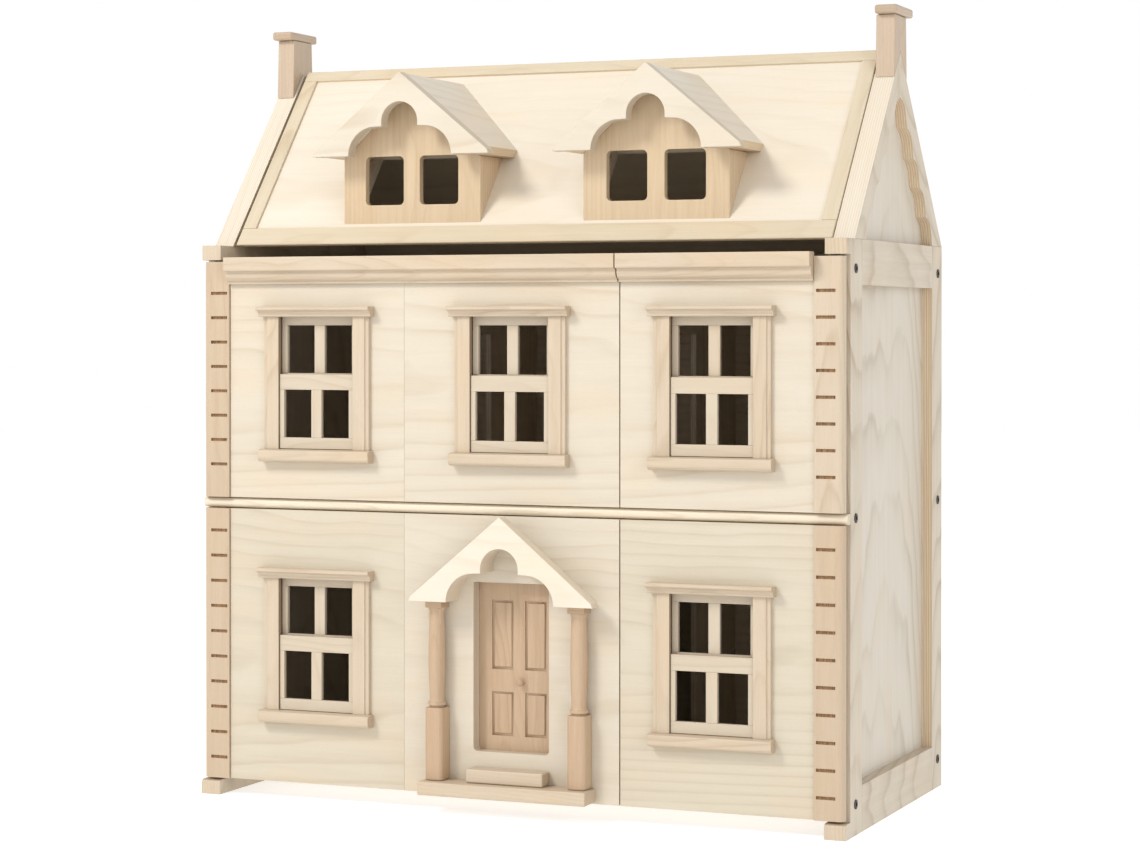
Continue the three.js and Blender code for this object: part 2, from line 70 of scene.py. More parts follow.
# ---- places taken from the frame, in millimetres ----------------------------------------------
SIDES = {"left": -1, "right": 1}
PANEL_LOW, PANEL_HIGH = span("door_upper_right")
FACE = PANEL_LOW.y                     # front of the door panels
PANEL_T = PANEL_HIGH.y - PANEL_LOW.y
FRONT = FACE + 10.6                    # front edge of the end walls
BACK = span("end_board_right")[1].y
HALF_W = span("face_frame_right")[1].x
WALL_IN = span("end_board_right")[0].x
APEX = span("face_frame_right")[1].z
RIDGE = FRONT + 158                    # the ridge, and the point where both raking rails meet
EAVES = FRONT + 12                     # foot of the front slope, and its height
EAVES_Z = 523
SLOPE = (APEX - EAVES_Z) / (RIDGE - EAVES)
PITCH = math.atan(SLOPE)
BAY = -106.5                           # where the left and the middle board of a wide door meet


# ---- sizes and colours a user may change ------------------------------------------------------
def size(name, text, default):
    return FloatProperty(name=name, description=text, default=default, unit="LENGTH", precision=5)


def colour(name, text, default):
    return FloatVectorProperty(name=name, description=text, default=default, subtype="COLOR",
                               min=0, max=1)


class DollhouseSizes(bpy.types.PropertyGroup):
    soft: size("Soft edge", "Rounding of the sanded edges", 0.0007)
    fine: size("Fine edge", "Rounding of small mouldings", 0.0004)
    worn: size("Worn edge", "Rounding of steps, caps and posts", 0.0016)
    bolt: size("Bolt head", "Radius of a bolt head", 0.0042)
    bolt_out: size("Bolt height", "How far a bolt head stands out", 0.0008)
    tread: size("Tread", "Thickness of a stair tread", 0.0024)
    turning: IntProperty(name="Turning", description="Faces round a turned piece", default=56, min=16)


class DollhouseColours(bpy.types.PropertyGroup):
    ply: colour("Pale ply", "Upper doors and pediments", (0.62, 0.555, 0.45))
    ply_deep: colour("Pale ply grain", "Dark lines of the pale ply", (0.47, 0.37, 0.26))
    ply_low: colour("Lower ply", "Lower doors", (0.588, 0.522, 0.412))
    ply_low_deep: colour("Lower ply grain", "Dark lines of the lower ply", (0.43, 0.35, 0.24))
    ply_roof: colour("Roof ply", "Field of the roof", (0.72, 0.65, 0.54))
    ply_roof_deep: colour("Roof ply grain", "Dark lines of the roof ply", (0.57, 0.46, 0.335))
    cream: colour("Cream wood", "Sashes", (0.555, 0.475, 0.365))
    cream_deep: colour("Cream grain", "Dark lines of the cream wood", (0.44, 0.33, 0.22))
    belt: colour("Belt", "Belt moulding", (0.72, 0.635, 0.50))
    belt_deep: colour("Belt grain", "Dark lines of the belt", (0.52, 0.41, 0.28))
    trim: colour("Trim", "Casings, strips and mouldings", (0.565, 0.465, 0.345))
    trim_deep: colour("Trim grain", "Dark lines of the trim", (0.38, 0.27, 0.17))
    strip: colour("Strip wood", "Darker corner strips", (0.515, 0.40, 0.283))
    strip_deep: colour("Strip grain", "Dark lines of the darker corner strips", (0.35, 0.24, 0.148))
    honey: colour("Honey wood", "Steps and roof frame", (0.62, 0.53, 0.39))
    honey_deep: colour("Honey grain", "Dark lines of the honey wood", (0.43, 0.32, 0.19))
    # the dormer wood is its own tone darkened with painted shade, the shadow of the pediment on the
    # dormer fronts and cheeks
    dormer: colour("Dormer wood", "Dormer fronts and cheeks", (0.585, 0.45, 0.295))
    dormer_deep: colour("Dormer grain", "Dark lines of the dormer wood", (0.39, 0.26, 0.145))
    wall: colour("End wall", "Recessed boards of the end walls", (0.61, 0.55, 0.46))
    wall_deep: colour("End wall grain", "Dark lines of those boards", (0.42, 0.355, 0.27))
    frame: colour("Face frame", "Stiles and rails of the end walls", (0.585, 0.505, 0.395))
    frame_deep: colour("Face frame grain", "Dark lines of the face frames", (0.37, 0.29, 0.20))
    tan: colour("Tan wood", "Front door and posts", (0.495, 0.355, 0.232))
    tan_deep: colour("Tan grain", "Dark lines of the tan wood", (0.34, 0.205, 0.115))
    stack: colour("Chimney wood", "Chimneys", (0.50, 0.39, 0.285))
    stack_deep: colour("Chimney grain", "Dark lines of the chimneys", (0.33, 0.23, 0.15))
    # the inner wood is its own colour made paler with painted light, so the shaded inside looks lit
    inner: colour("Inner wood", "Floors, partitions and back", (0.78, 0.68, 0.54))
    inner_deep: colour("Inner grain", "Dark lines of the inner wood", (0.54, 0.41, 0.28))
    edge: colour("Routed edge", "Cut edges round the recesses", (0.72, 0.585, 0.42))
    edge_deep: colour("Routed edge lines", "Dark plies of the cut edges", (0.40, 0.28, 0.165))
    # painted shade: a very dark wood on the insides of the window openings stands in for their shade
    reveal: colour("Reveal", "Dark sides of the window openings", (0.30, 0.22, 0.145))
    reveal_deep: colour("Reveal grain", "Dark lines of the reveals", (0.17, 0.11, 0.065))
    burnt: colour("Burnt notch", "Cut notches of the corner strips", (0.17, 0.10, 0.05))


# ---- shader maths -----------------------------------------------------------------------------
class Value:
    """A shader socket that adds Math nodes when it is used in an expression."""

    def __init__(self, tree, socket):
        self.tree, self.socket = tree, socket

    def maths(self, operation, *values):
        return self.tree.node("ShaderNodeMath", {"operation": operation}, *values)

    def __add__(self, other):
        return self.maths("ADD", self, other)

    def __sub__(self, other):
        return self.maths("SUBTRACT", self, other)

    def __rsub__(self, other):
        return self.maths("SUBTRACT", other, self)

    def __mul__(self, other):
        return self.maths("MULTIPLY", self, other)

    def __pow__(self, other):
        return self.maths("POWER", self, other)

    __radd__ = __add__
    __rmul__ = __mul__

    def fract(self):
        return self.maths("FRACT", self)

    def clamp(self):
        return self.maths("MINIMUM", self.maths("MAXIMUM", self, 0.0), 1.0)


MIX_FACTOR, MIX_FIRST, MIX_SECOND, MIX_RESULT = 0, 6, 7, 2     # sockets of a Mix node for colours


class Shader:
    """Builds the node tree of one material."""

    def __init__(self, name):
        self.material = bpy.data.materials.new(name)
        self.material.use_nodes = True
        self.nodes = self.material.node_tree.nodes
        self.links = self.material.node_tree.links
        self.nodes.clear()

    def node(self, kind, settings=None, *values, output=0, **named):
        made = self.nodes.new(kind)
        for key, setting in (settings or {}).items():
            if key == "stops":
                self.stops(made.color_ramp, setting)
            else:
                setattr(made, key, setting)
        for key, value in [*enumerate(values), *named.items()]:
            socket = made.inputs[key.replace("_", " ") if isinstance(key, str) else key]
            if isinstance(value, Value):
                self.links.new(value.socket, socket)
            else:
                socket.default_value = value
        return Value(self, made.outputs[output])

    @staticmethod
    def stops(ramp, stops):
        while len(ramp.elements) < len(stops):
            ramp.elements.new(1.0)
        for element, (place, shade) in zip(ramp.elements, stops):
            element.position = place
            element.color = (shade, shade, shade, 1)

    def attribute(self, name):
        return self.node("ShaderNodeAttribute", {"attribute_name": name}, output="Vector")

    def place(self):
        """Object coordinates, in metres."""
        return self.split(self.node("ShaderNodeTexCoord", output="Object"))

    def split(self, vector):
        made = self.nodes.new("ShaderNodeSeparateXYZ")
        self.links.new(vector.socket, made.inputs[0])
        return [Value(self, out) for out in made.outputs]

    def merge(self, x, y, z):
        return self.node("ShaderNodeCombineXYZ", None, x, y, z)

    def noise(self, vector, detail, rough=0.5):
        return self.node("ShaderNodeTexNoise", None, vector, Scale=1.0, Detail=detail, Roughness=rough)

    def ramp(self, value, *stops):
        return self.node("ShaderNodeValToRGB", {"stops": stops}, value)

    def mix(self, amount, one, other):
        made = self.nodes.new("ShaderNodeMix")
        made.data_type = "RGBA"
        for key, value in ((MIX_FACTOR, amount), (MIX_FIRST, one), (MIX_SECOND, other)):
            if isinstance(value, Value):
                self.links.new(value.socket, made.inputs[key])
            else:
                made.inputs[key].default_value = (*value[:3], 1)
        return Value(self, made.outputs[MIX_RESULT])

    def bump(self, height, strength, distance):
        return self.node("ShaderNodeBump", None, Height=height, Strength=strength, Distance=distance)

    def finish(self, **sockets):
        shader = self.node("ShaderNodeBsdfPrincipled", None, **sockets)
        out = self.nodes.new("ShaderNodeOutputMaterial")
        self.links.new(shader.socket, out.inputs["Surface"])
        return self.material


# ---- woods ------------------------------------------------------------------------------------
def wood(name, pale, deep, ring, lines, blotch, fibre, tilt, rough=0.5, layers=0.0):
    """Lacquered wood from growth rings about a leaning trunk, fibres, blotches and, for ply, layers.

    grain holds the distance along, across and through the board; faces says how far a face looks
    along each of those.
    """
    s = Shader(name)
    along, across, through = s.split(s.attribute("grain"))
    end, _, flat = s.split(s.attribute("faces"))

    def drawn_out(lengthwise, crosswise, detail, roughness=0.5):
        """Noise with so many cells to a metre along and across the grain."""
        place = s.merge(along * lengthwise, across * crosswise, through * crosswise)
        return s.noise(place, detail, roughness)

    # growth rings: the distance from the heart of a trunk that leans and sways
    side_sway, depth_sway, wobble = 0.022, 0.030, 0.0022
    wander = drawn_out(3.2, 9.0, 3.0) - 0.5
    drift = drawn_out(9.0, 40.0, 2.0) - 0.5
    depth = through + along * tilt + wander * depth_sway
    radius = ((across + wander * side_sway) ** 2.0 + depth * depth) ** 0.5 + drift * wobble
    growth = (radius * (1 / (ring * MM))).fract()
    late = s.ramp(growth, (0.0, 0.10), (0.35, 0.0), (0.72, 0.35), (0.90, 1.0), (0.97, 0.55), (1.0, 0.10))
    fade = s.ramp(drawn_out(2.0, 13.0, 2.0), (0.35, 0.15), (0.65, 1.0))

    # fibres, pores and blotches
    pore_tone, end_tone, ply_tone = 0.16, 0.42, 0.45
    fine = drawn_out(34.0, 1150.0, 3.0, 0.6)
    streak = drawn_out(5.0, 150.0, 4.0, 0.65)
    cloud = drawn_out(7.0, 17.0, 3.0, 0.55)
    pores = s.ramp(drawn_out(260.0, 1500.0, 1.0), (0.60, 0.0), (0.74, 1.0))
    dark = late * fade * lines + (streak - 0.5) * (1.3 * fibre) + (fine - 0.5) * (0.9 * fibre)
    warm = [min(1.0, c * f) for c, f in zip(pale, (1.03, 0.90, 0.76))]
    cool = [min(1.0, c * f) for c, f in zip(pale, (1.02, 1.06, 1.10))]
    tone = s.mix((dark + 0.10).clamp(), pale, deep)
    tone = s.mix(s.ramp(cloud, (0.52, 0.0), (0.80, 1.0)) * blotch, tone, warm)
    tone = s.mix(s.ramp(cloud, (0.22, 1.0), (0.48, 0.0)) * blotch, tone, cool)
    tone = s.mix(pores * pore_tone, tone, deep)
    tone = s.mix(s.ramp(end, (0.5, 0.0), (0.9, 1.0)) * end_tone, tone, deep)
    if layers:
        sheet = (through * (1 / (layers * MM))).fract()
        band = s.ramp(sheet, (0.0, 0.0), (0.42, 0.0), (0.50, 1.0), (0.92, 1.0), (1.0, 0.0))
        rim = s.ramp(flat, (0.35, 1.0), (0.6, 0.0))
        tone = s.mix(band * rim * ply_tone, tone, deep)

    height = (fine - 0.5) * 0.6 + (streak - 0.5) * 0.5 - pores * 0.35 - late * 0.25
    sheen = 0.06 * (streak - 0.5) + 0.10 * late + rough - 0.03
    return s.finish(Base_Color=tone, Roughness=sheen, Normal=s.bump(height, 0.22, 0.0004),
                    Specular_IOR_Level=0.42, Coat_Weight=0.12, Coat_Roughness=0.32)


def burnt_wood(name, tint):
    """Scorched wood at the bottom of a cut notch."""
    s = Shader(name)
    along, across, through = s.split(s.attribute("grain"))
    soot = s.noise(s.merge(along * 160.0, across * 900.0, through * 300.0), 3.0)
    ember = [c * 3.0 for c in tint]
    tone = s.mix(s.ramp(soot, (0.3, 0.0), (0.75, 1.0)), tint, ember)
    return s.finish(Base_Color=tone, Roughness=soot * 0.2 + 0.6, Normal=s.bump(soot, 0.3, 0.0003),
                    Specular_IOR_Level=0.3)


def blackened_steel(name):
    """Black bolt heads with a fine speckle of rubbed metal."""
    s = Shader(name)
    cells = 900.0
    speck = s.noise(s.merge(*[axis * cells for axis in s.place()]), 4.0, 0.6)
    tone = s.mix(s.ramp(speck, (0.35, 0.0), (0.75, 1.0)), (0.012, 0.011, 0.011), (0.055, 0.05, 0.046))
    return s.finish(Base_Color=tone, Roughness=speck * 0.25 + 0.3, Metallic=0.7,
                    Normal=s.bump(speck, 0.15, 0.0002))


def paper_floor(name):
    """Pale matt studio floor."""
    s = Shader(name)
    cells = 60.0
    tooth = s.noise(s.merge(*[axis * cells for axis in s.place()]), 3.0)
    tone = s.mix(tooth, (0.60, 0.60, 0.598), (0.63, 0.63, 0.628))
    return s.finish(Base_Color=tone, Roughness=tooth * 0.1 + 0.85, Specular_IOR_Level=0.1,
                    Emission_Color=(1, 1, 1, 1), Emission_Strength=0.62)


WOODS = {}

# name: colour, ring width in mm, strength of the lines, blotches and fibres, lean of the rings,
# and for some the roughness and the thickness of a ply in mm
KINDS = {
    "pale_ply": ("ply", 9.0, 0.42, 0.55, 0.30, 0.035, 0.50, 2.3),
    "lower_ply": ("ply_low", 8.0, 0.45, 0.55, 0.32, 0.035, 0.50, 2.3),
    "roof_ply": ("ply_roof", 9.0, 0.35, 0.50, 0.26, 0.035, 0.50, 2.3),
    "cream_wood": ("cream", 4.0, 0.42, 0.45, 0.36, 0.03),
    "belt_wood": ("belt", 4.0, 0.42, 0.45, 0.36, 0.03),
    "trim_wood": ("trim", 3.4, 0.42, 0.45, 0.44, 0.03),
    "strip_wood": ("strip", 3.4, 0.42, 0.45, 0.44, 0.03),
    "honey_wood": ("honey", 4.2, 0.50, 0.40, 0.40, 0.03),
    # dormer_wood: the dormer wood's tone with painted shade
    "dormer_wood": ("dormer", 3.0, 0.30, 0.35, 0.60, 0.015),
    "end_wall": ("wall", 8.0, 0.62, 0.45, 0.42, 0.10),
    "face_frame": ("frame", 7.0, 0.75, 0.45, 0.45, 0.10),
    "tan_wood": ("tan", 2.8, 0.42, 0.35, 0.62, 0.02),
    "chimney_wood": ("stack", 3.4, 0.45, 0.40, 0.50, 0.03),
    # inner_wood: the inner wood with painted light
    "inner_wood": ("inner", 7.0, 0.5, 0.5, 0.40, 0.03, 0.6, 2.3),
    "routed": ("edge", 3.0, 0.4, 0.4, 0.5, 0.03, 0.6, 2.3),
    # reveal: painted shade for the insides of the window openings
    "reveal": ("reveal", 3.0, 0.4, 0.4, 0.4, 0.03, 0.65),
}


def make_woods(tints):
    for name, (tint, *look) in KINDS.items():
        pale, deep = getattr(tints, tint), getattr(tints, f"{tint}_deep")
        WOODS[name] = wood(name.replace("_", " "), pale, deep, *look)
    WOODS["burnt"] = burnt_wood("burnt notch", tints.burnt)
    WOODS["bolt"] = blackened_steel("bolt black")


# ---- shapes, in millimetres -------------------------------------------------------------------
WELD = 0.01                            # corners nearer than this become one
FLAT = 1.5                             # faces that meet at less than this many degrees become one
CORNER = 8                             # steps in a rounded corner


def rect(a0, a1, b0, b1):
    return [(a0, b0), (a1, b0), (a1, b1), (a0, b1)]


def arc(ca, cb, radius, start, stop, steps):
    """Points of an arc, angles in degrees."""
    turns = [math.radians(start + (stop - start) * i / steps) for i in range(steps + 1)]
    return [(ca + radius * math.cos(t), cb + radius * math.sin(t)) for t in turns]


def soft_rect(a0, a1, b0, b1, r):
    return [*arc(a1 - r, b1 - r, r, 0, 90, CORNER), *arc(a0 + r, b1 - r, r, 90, 180, CORNER),
            *arc(a0 + r, b0 + r, r, 180, 270, CORNER), *arc(a1 - r, b0 + r, r, 270, 360, CORNER)]


def soften(bm, width, segments=2, least=25):
    """Rounds the edges sharper than least degrees."""
    least = math.radians(least)
    sharp = [e for e in bm.edges if len(e.link_faces) == 2 and e.calc_face_angle(0) > least]
    if width and sharp:
        bmesh.ops.bevel(bm, geom=sharp, offset=width, segments=segments, profile=0.5, affect="EDGES",
                        clamp_overlap=True)
    return bm


def prism(axis, outline, low, high, width=0.0, segments=2, least=25):
    """Outline drawn across an axis and run from low to high along it."""
    bm = bmesh.new()
    rings = []
    for level in (low, high):
        ring = []
        for a, b in outline:
            place = [a, b]
            place.insert(axis, level)
            ring.append(bm.verts.new(place))
        rings.append(ring)
    bm.faces.new(rings[0])
    bm.faces.new(rings[1])
    count = len(outline)
    for i in range(count):
        j = (i + 1) % count
        bm.faces.new((rings[0][i], rings[0][j], rings[1][j], rings[1][i]))
    bmesh.ops.recalc_face_normals(bm, faces=bm.faces)
    return soften(bm, width, segments, least)


def block(low, high, width=0.0, segments=2):
    return prism(Y, rect(low[X], high[X], low[Z], high[Z]), low[Y], high[Y], width, segments)


def turned(profile, x, y, steps):
    """Profile of (radius, height) points turned about an upright line."""
    bm = bmesh.new()
    rings = []
    for radius, height in profile:
        if radius == 0:
            rings.append([bm.verts.new((x, y, height))])
            continue
        angles = [2 * math.pi * i / steps for i in range(steps)]
        rings.append([bm.verts.new((x + radius * math.cos(t), y + radius * math.sin(t), height))
                      for t in angles])
    for low, high in zip(rings, rings[1:]):
        for i in range(steps):
            j = (i + 1) % steps
            corners = [low[i % len(low)], low[j % len(low)], high[j % len(high)], high[i % len(high)]]
            bm.faces.new(list(dict.fromkeys(corners)))
    bmesh.ops.recalc_face_normals(bm, faces=bm.faces)
    return bm


def cleaned(bm):
    bmesh.ops.remove_doubles(bm, verts=bm.verts, dist=WELD)
    bmesh.ops.dissolve_limit(bm, angle_limit=math.radians(FLAT), verts=bm.verts, edges=bm.edges)
    return bm


def from_cad(node, width):
    """A merged copy of a CAD node with its edges rounded."""
    bm = bmesh.new()
    bm.from_mesh(frame["nodes"][node].data)
    bm.transform(Matrix.Scale(1 / MM, 4))
    return soften(cleaned(bm), width)


def as_object(name, bm):
    mesh = bpy.data.meshes.new(name)
    bm.to_mesh(mesh)
    bm.free()
    obj = bpy.data.objects.new(name, mesh)
    bpy.context.scene.collection.objects.link(obj)
    return obj


def applied(obj):
    """The object's mesh with its modifiers worked in; the modifiers go."""
    graph = bpy.context.evaluated_depsgraph_get()
    mesh = bpy.data.meshes.new_from_object(obj.evaluated_get(graph), preserve_all_data_layers=True,
                                           depsgraph=graph)
    obj.modifiers.clear()
    old, obj.data = obj.data, mesh
    name = old.name
    bpy.data.meshes.remove(old)
    mesh.name = name
    return obj


def carved(bm, cutters, width=0.0, segments=2):
    """The solid with each cutter taken out of it, then its edges rounded."""
    body = as_object("blank", bm)
    tools = [as_object("cutter", cutter) for cutter in cutters]
    for tool in tools:
        cut = body.modifiers.new("cut", "BOOLEAN")
        cut.operation, cut.solver, cut.object = "DIFFERENCE", "EXACT", tool
    applied(body)
    result = bmesh.new()
    result.from_mesh(body.data)
    for obj in [body, *tools]:
        mesh = obj.data
        bpy.data.objects.remove(obj)
        bpy.data.meshes.remove(mesh)
    return soften(cleaned(result), width, segments)


# how far, in metres, a solid's grain is shifted by chance: along, across and through
SHIFTS = ((0, 4), (-0.035, 0.035), (0.02, 0.07))


class Piece:
    """One visible piece, put together from closed solids that each have their own run of grain."""

    def __init__(self, name):
        self.name = name
        self.bm = bmesh.new()
        self.grain = self.bm.verts.layers.float_vector.new("grain")
        self.faces = self.bm.faces.layers.float_vector.new("faces")
        self.woods = []
        self.count = 0

    def material(self, wood_name):
        """The slot of a wood among the materials of the piece."""
        if wood_name not in self.woods:
            self.woods.append(wood_name)
        return self.woods.index(wood_name)

    def add(self, bm, axes, wood_name, turn=None, lean=0.0):
        """Adds a solid in millimetres. axes names the directions along, across and through its grain.

        turn places a solid that was drawn elsewhere; lean tips the grain about the X axis.
        """
        self.count += 1
        chance = random.Random(f"{self.name} {self.count}")
        shift = [chance.uniform(*limits) for limits in SHIFTS]
        picks = ["XYZ".index(letter) for letter in axes]
        slot = self.material(wood_name)
        first_vert, first_face = len(self.bm.verts), len(self.bm.faces)
        bmesh.ops.recalc_face_normals(bm, faces=bm.faces)
        tip = Matrix.Rotation(lean, 3, "X")
        middle = sum((v.co for v in bm.verts), Vector()) / len(bm.verts)
        places = [tip @ (v.co - middle) * MM for v in bm.verts]
        bm.normal_update()
        looks = [tip @ face.normal for face in bm.faces]
        mesh = bpy.data.meshes.new("part")
        bm.to_mesh(mesh)
        bm.free()
        mesh.transform(Matrix.Scale(MM, 4))
        if turn is not None:
            mesh.transform(turn)
        self.bm.from_mesh(mesh)
        bpy.data.meshes.remove(mesh)
        self.bm.verts.ensure_lookup_table()
        self.bm.faces.ensure_lookup_table()
        for i, place in enumerate(places):
            vert = self.bm.verts[first_vert + i]
            vert[self.grain] = Vector([place[p] + s for p, s in zip(picks, shift)])
        for i, look in enumerate(looks):
            face = self.bm.faces[first_face + i]
            face[self.faces] = Vector([abs(look[p]) for p in picks])
            face.material_index = slot
        return first_face

    def paint(self, first_face, test, wood_name):
        """Gives another finish to the faces added since first_face that pass a test on their centre."""
        slot = self.material(wood_name)
        self.bm.faces.ensure_lookup_table()
        for face in self.bm.faces[first_face:]:
            if test(face.calc_center_median() / MM, face.normal):
                face.material_index = slot

    def done(self, body, slot, *nodes, sharp=40):
        obj = as_object(self.name, self.bm)
        for wood_name in self.woods:
            obj.data.materials.append(WOODS[wood_name])
        obj.data.polygons.foreach_set("use_smooth", [True] * len(obj.data.polygons))
        obj.data.set_sharp_from_angle(angle=math.radians(sharp))
        even = obj.modifiers.new("even", "WEIGHTED_NORMAL")
        even.keep_sharp, even.weight = True, 90
        applied(obj)
        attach(obj, body)
        if nodes:
            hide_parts(*nodes)
        return obj


def sizes():
    return bpy.context.scene.dollhouse_sizes


def mm(value):
    return value / MM


def at_front(points):
    """Points of (distance behind the front edge of the walls, height) as (Y, height)."""
    return [(FRONT + a, b) for a, b in points]


def sided(side, near, far):
    """The span from near to far, on the left for -1 and on the right for 1."""
    return sorted((side * near, side * far))


# ---- geometry nodes ---------------------------------------------------------------------------
class Geometry:
    """Builds a geometry node tree with named inputs."""

    def __init__(self, name, **inputs):
        self.tree = bpy.data.node_groups.new(name, "GeometryNodeTree")
        self.tree.is_modifier = True
        self.tree.interface.new_socket("Geometry", in_out="INPUT", socket_type="NodeSocketGeometry")
        self.keys = {}
        for key, value in inputs.items():
            kind = "NodeSocketInt" if isinstance(value, int) else "NodeSocketFloat"
            socket = self.tree.interface.new_socket(key, in_out="INPUT", socket_type=kind)
            self.keys[key] = (socket.identifier, value)
        self.tree.interface.new_socket("Geometry", in_out="OUTPUT", socket_type="NodeSocketGeometry")
        self.inputs = self.tree.nodes.new("NodeGroupInput")

    def given(self, key):
        return self.inputs.outputs[key]

    def node(self, kind, settings=None, *values, **named):
        made = self.tree.nodes.new(kind)
        for key, value in (settings or {}).items():
            setattr(made, key, value)
        for key, value in [*enumerate(values), *named.items()]:
            socket = made.inputs[key.replace("_", " ") if isinstance(key, str) else key]
            if isinstance(value, bpy.types.NodeSocket):
                self.tree.links.new(value, socket)
            else:
                socket.default_value = value
        return made.outputs[0]

    def end(self, geometry, material):
        real = self.node("GeometryNodeRealizeInstances", Geometry=geometry)
        done = self.node("GeometryNodeSetMaterial", Geometry=real, Material=material)
        out = self.tree.nodes.new("NodeGroupOutput")
        self.tree.links.new(done, out.inputs[0])

    def mesh_of(self, points):
        """The finished mesh of the tree on an object that has these points, in millimetres."""
        mesh = bpy.data.meshes.new("points")
        mesh.from_pydata([Vector(p) * MM for p in points], [], [])
        obj = bpy.data.objects.new("points", mesh)
        bpy.context.scene.collection.objects.link(obj)
        modifier = obj.modifiers.new("nodes", "NODES")
        modifier.node_group = self.tree
        for identifier, value in self.keys.values():
            modifier[identifier] = value
        applied(obj)
        made = obj.data.copy()
        bpy.data.objects.remove(obj)
        return made


def bolt_tree(radius, height, material):
    """A round head with a hexagonal socket on each point, on its side."""
    round_steps, socket_share, socket_lift = 40, 0.5, 0.45
    tree = Geometry("bolt heads", Radius=radius, Height=height)
    size, tall = tree.given("Radius"), tree.given("Height")
    head = tree.node("GeometryNodeMeshCylinder", Vertices=round_steps, Radius=size, Depth=tall)
    small = tree.node("ShaderNodeMath", {"operation": "MULTIPLY"}, size, socket_share)
    socket = tree.node("GeometryNodeMeshCylinder", Vertices=6, Radius=small, Depth=tall)
    lift = tree.node("ShaderNodeCombineXYZ", Z=tall)
    half = tree.node("ShaderNodeVectorMath", {"operation": "SCALE"}, Vector=lift, Scale=socket_lift)
    raised = tree.node("GeometryNodeTransform", Geometry=socket, Translation=half)
    cut = tree.node("GeometryNodeMeshBoolean", {"operation": "DIFFERENCE"}, Mesh_1=head, Mesh_2=raised)
    x_only = tree.node("ShaderNodeSeparateXYZ", Vector=tree.node("GeometryNodeInputPosition"))
    side = tree.node("ShaderNodeMath", {"operation": "SIGN"}, x_only)
    angle = tree.node("ShaderNodeMath", {"operation": "MULTIPLY"}, side, math.pi / 2)
    turn = tree.node("ShaderNodeCombineXYZ", Y=angle)
    spots = tree.node("GeometryNodeInstanceOnPoints", Points=tree.inputs.outputs[0], Instance=cut,
                      Rotation=turn)
    tree.end(spots, material)
    return tree


def tread_tree(count, run, rise, deep, wide, thick, material):
    """A flight of equal treads that climbs along X from each point."""
    tree = Geometry("stair treads", Count=count, Run=run, Rise=rise, Deep=deep, Wide=wide, Thick=thick)
    step = tree.node("ShaderNodeCombineXYZ", X=tree.given("Run"), Z=tree.given("Rise"))
    line = tree.node("GeometryNodeMeshLine", Count=tree.given("Count"), Offset=step)
    board_size = tree.node("ShaderNodeCombineXYZ", X=tree.given("Deep"), Y=tree.given("Wide"),
                           Z=tree.given("Thick"))
    board = tree.node("GeometryNodeMeshCube", Size=board_size)
    flight = tree.node("GeometryNodeInstanceOnPoints", Points=line, Instance=board)
    placed = tree.node("GeometryNodeInstanceOnPoints", Points=tree.inputs.outputs[0], Instance=flight)
    tree.end(placed, material)
    return tree


# ---- end walls --------------------------------------------------------------------------------
STILE = (34.9, 269.5)                  # inner edges of the stiles, from the front edge
RAILS = (41.5, 482.5)                  # inner edges of the bottom and the eaves rail
RAKE = 27                              # width of a raking rail, to the points of its scallops
SCALLOPS = 5
SCALLOP_DEEP = 6.5
DEPTH = BACK - FRONT
RIDGE_IN = RIDGE - FRONT
EAVES_IN = EAVES - FRONT


def scallops(side, steps=12):
    """Scalloped inner edge of a raking rail, from the top of the recess down."""
    top = APEX - RAKE / math.cos(PITCH)
    foot = RIDGE_IN + side * (top - EAVES_Z) / SLOPE
    out = (side * math.sin(PITCH), math.cos(PITCH))
    upper, lower = 1.25, 0.75          # each scallop is fuller at its upper end
    points = []
    for k in range(SCALLOPS):
        for i in range(1 if k else 0, steps + 1):
            t = (k + i / steps) / SCALLOPS
            full = upper - (upper - lower) * i / steps
            bulge = SCALLOP_DEEP * math.sin(math.pi * i / steps) * full
            points.append((RIDGE_IN + (foot - RIDGE_IN) * t + out[0] * bulge,
                           top + (EAVES_Z - top) * t + out[1] * bulge))
    return points


def looking(way, least=0.6):
    """Test for faces of an end wall that look one way in the plane of the wall."""
    return lambda place, normal: normal.y * way[0] + normal.z * way[1] > least


def in_front_of_wall(place, normal):
    """Test for the faces of the foot and of the block at the eaves."""
    return place.y < FRONT - 0.5


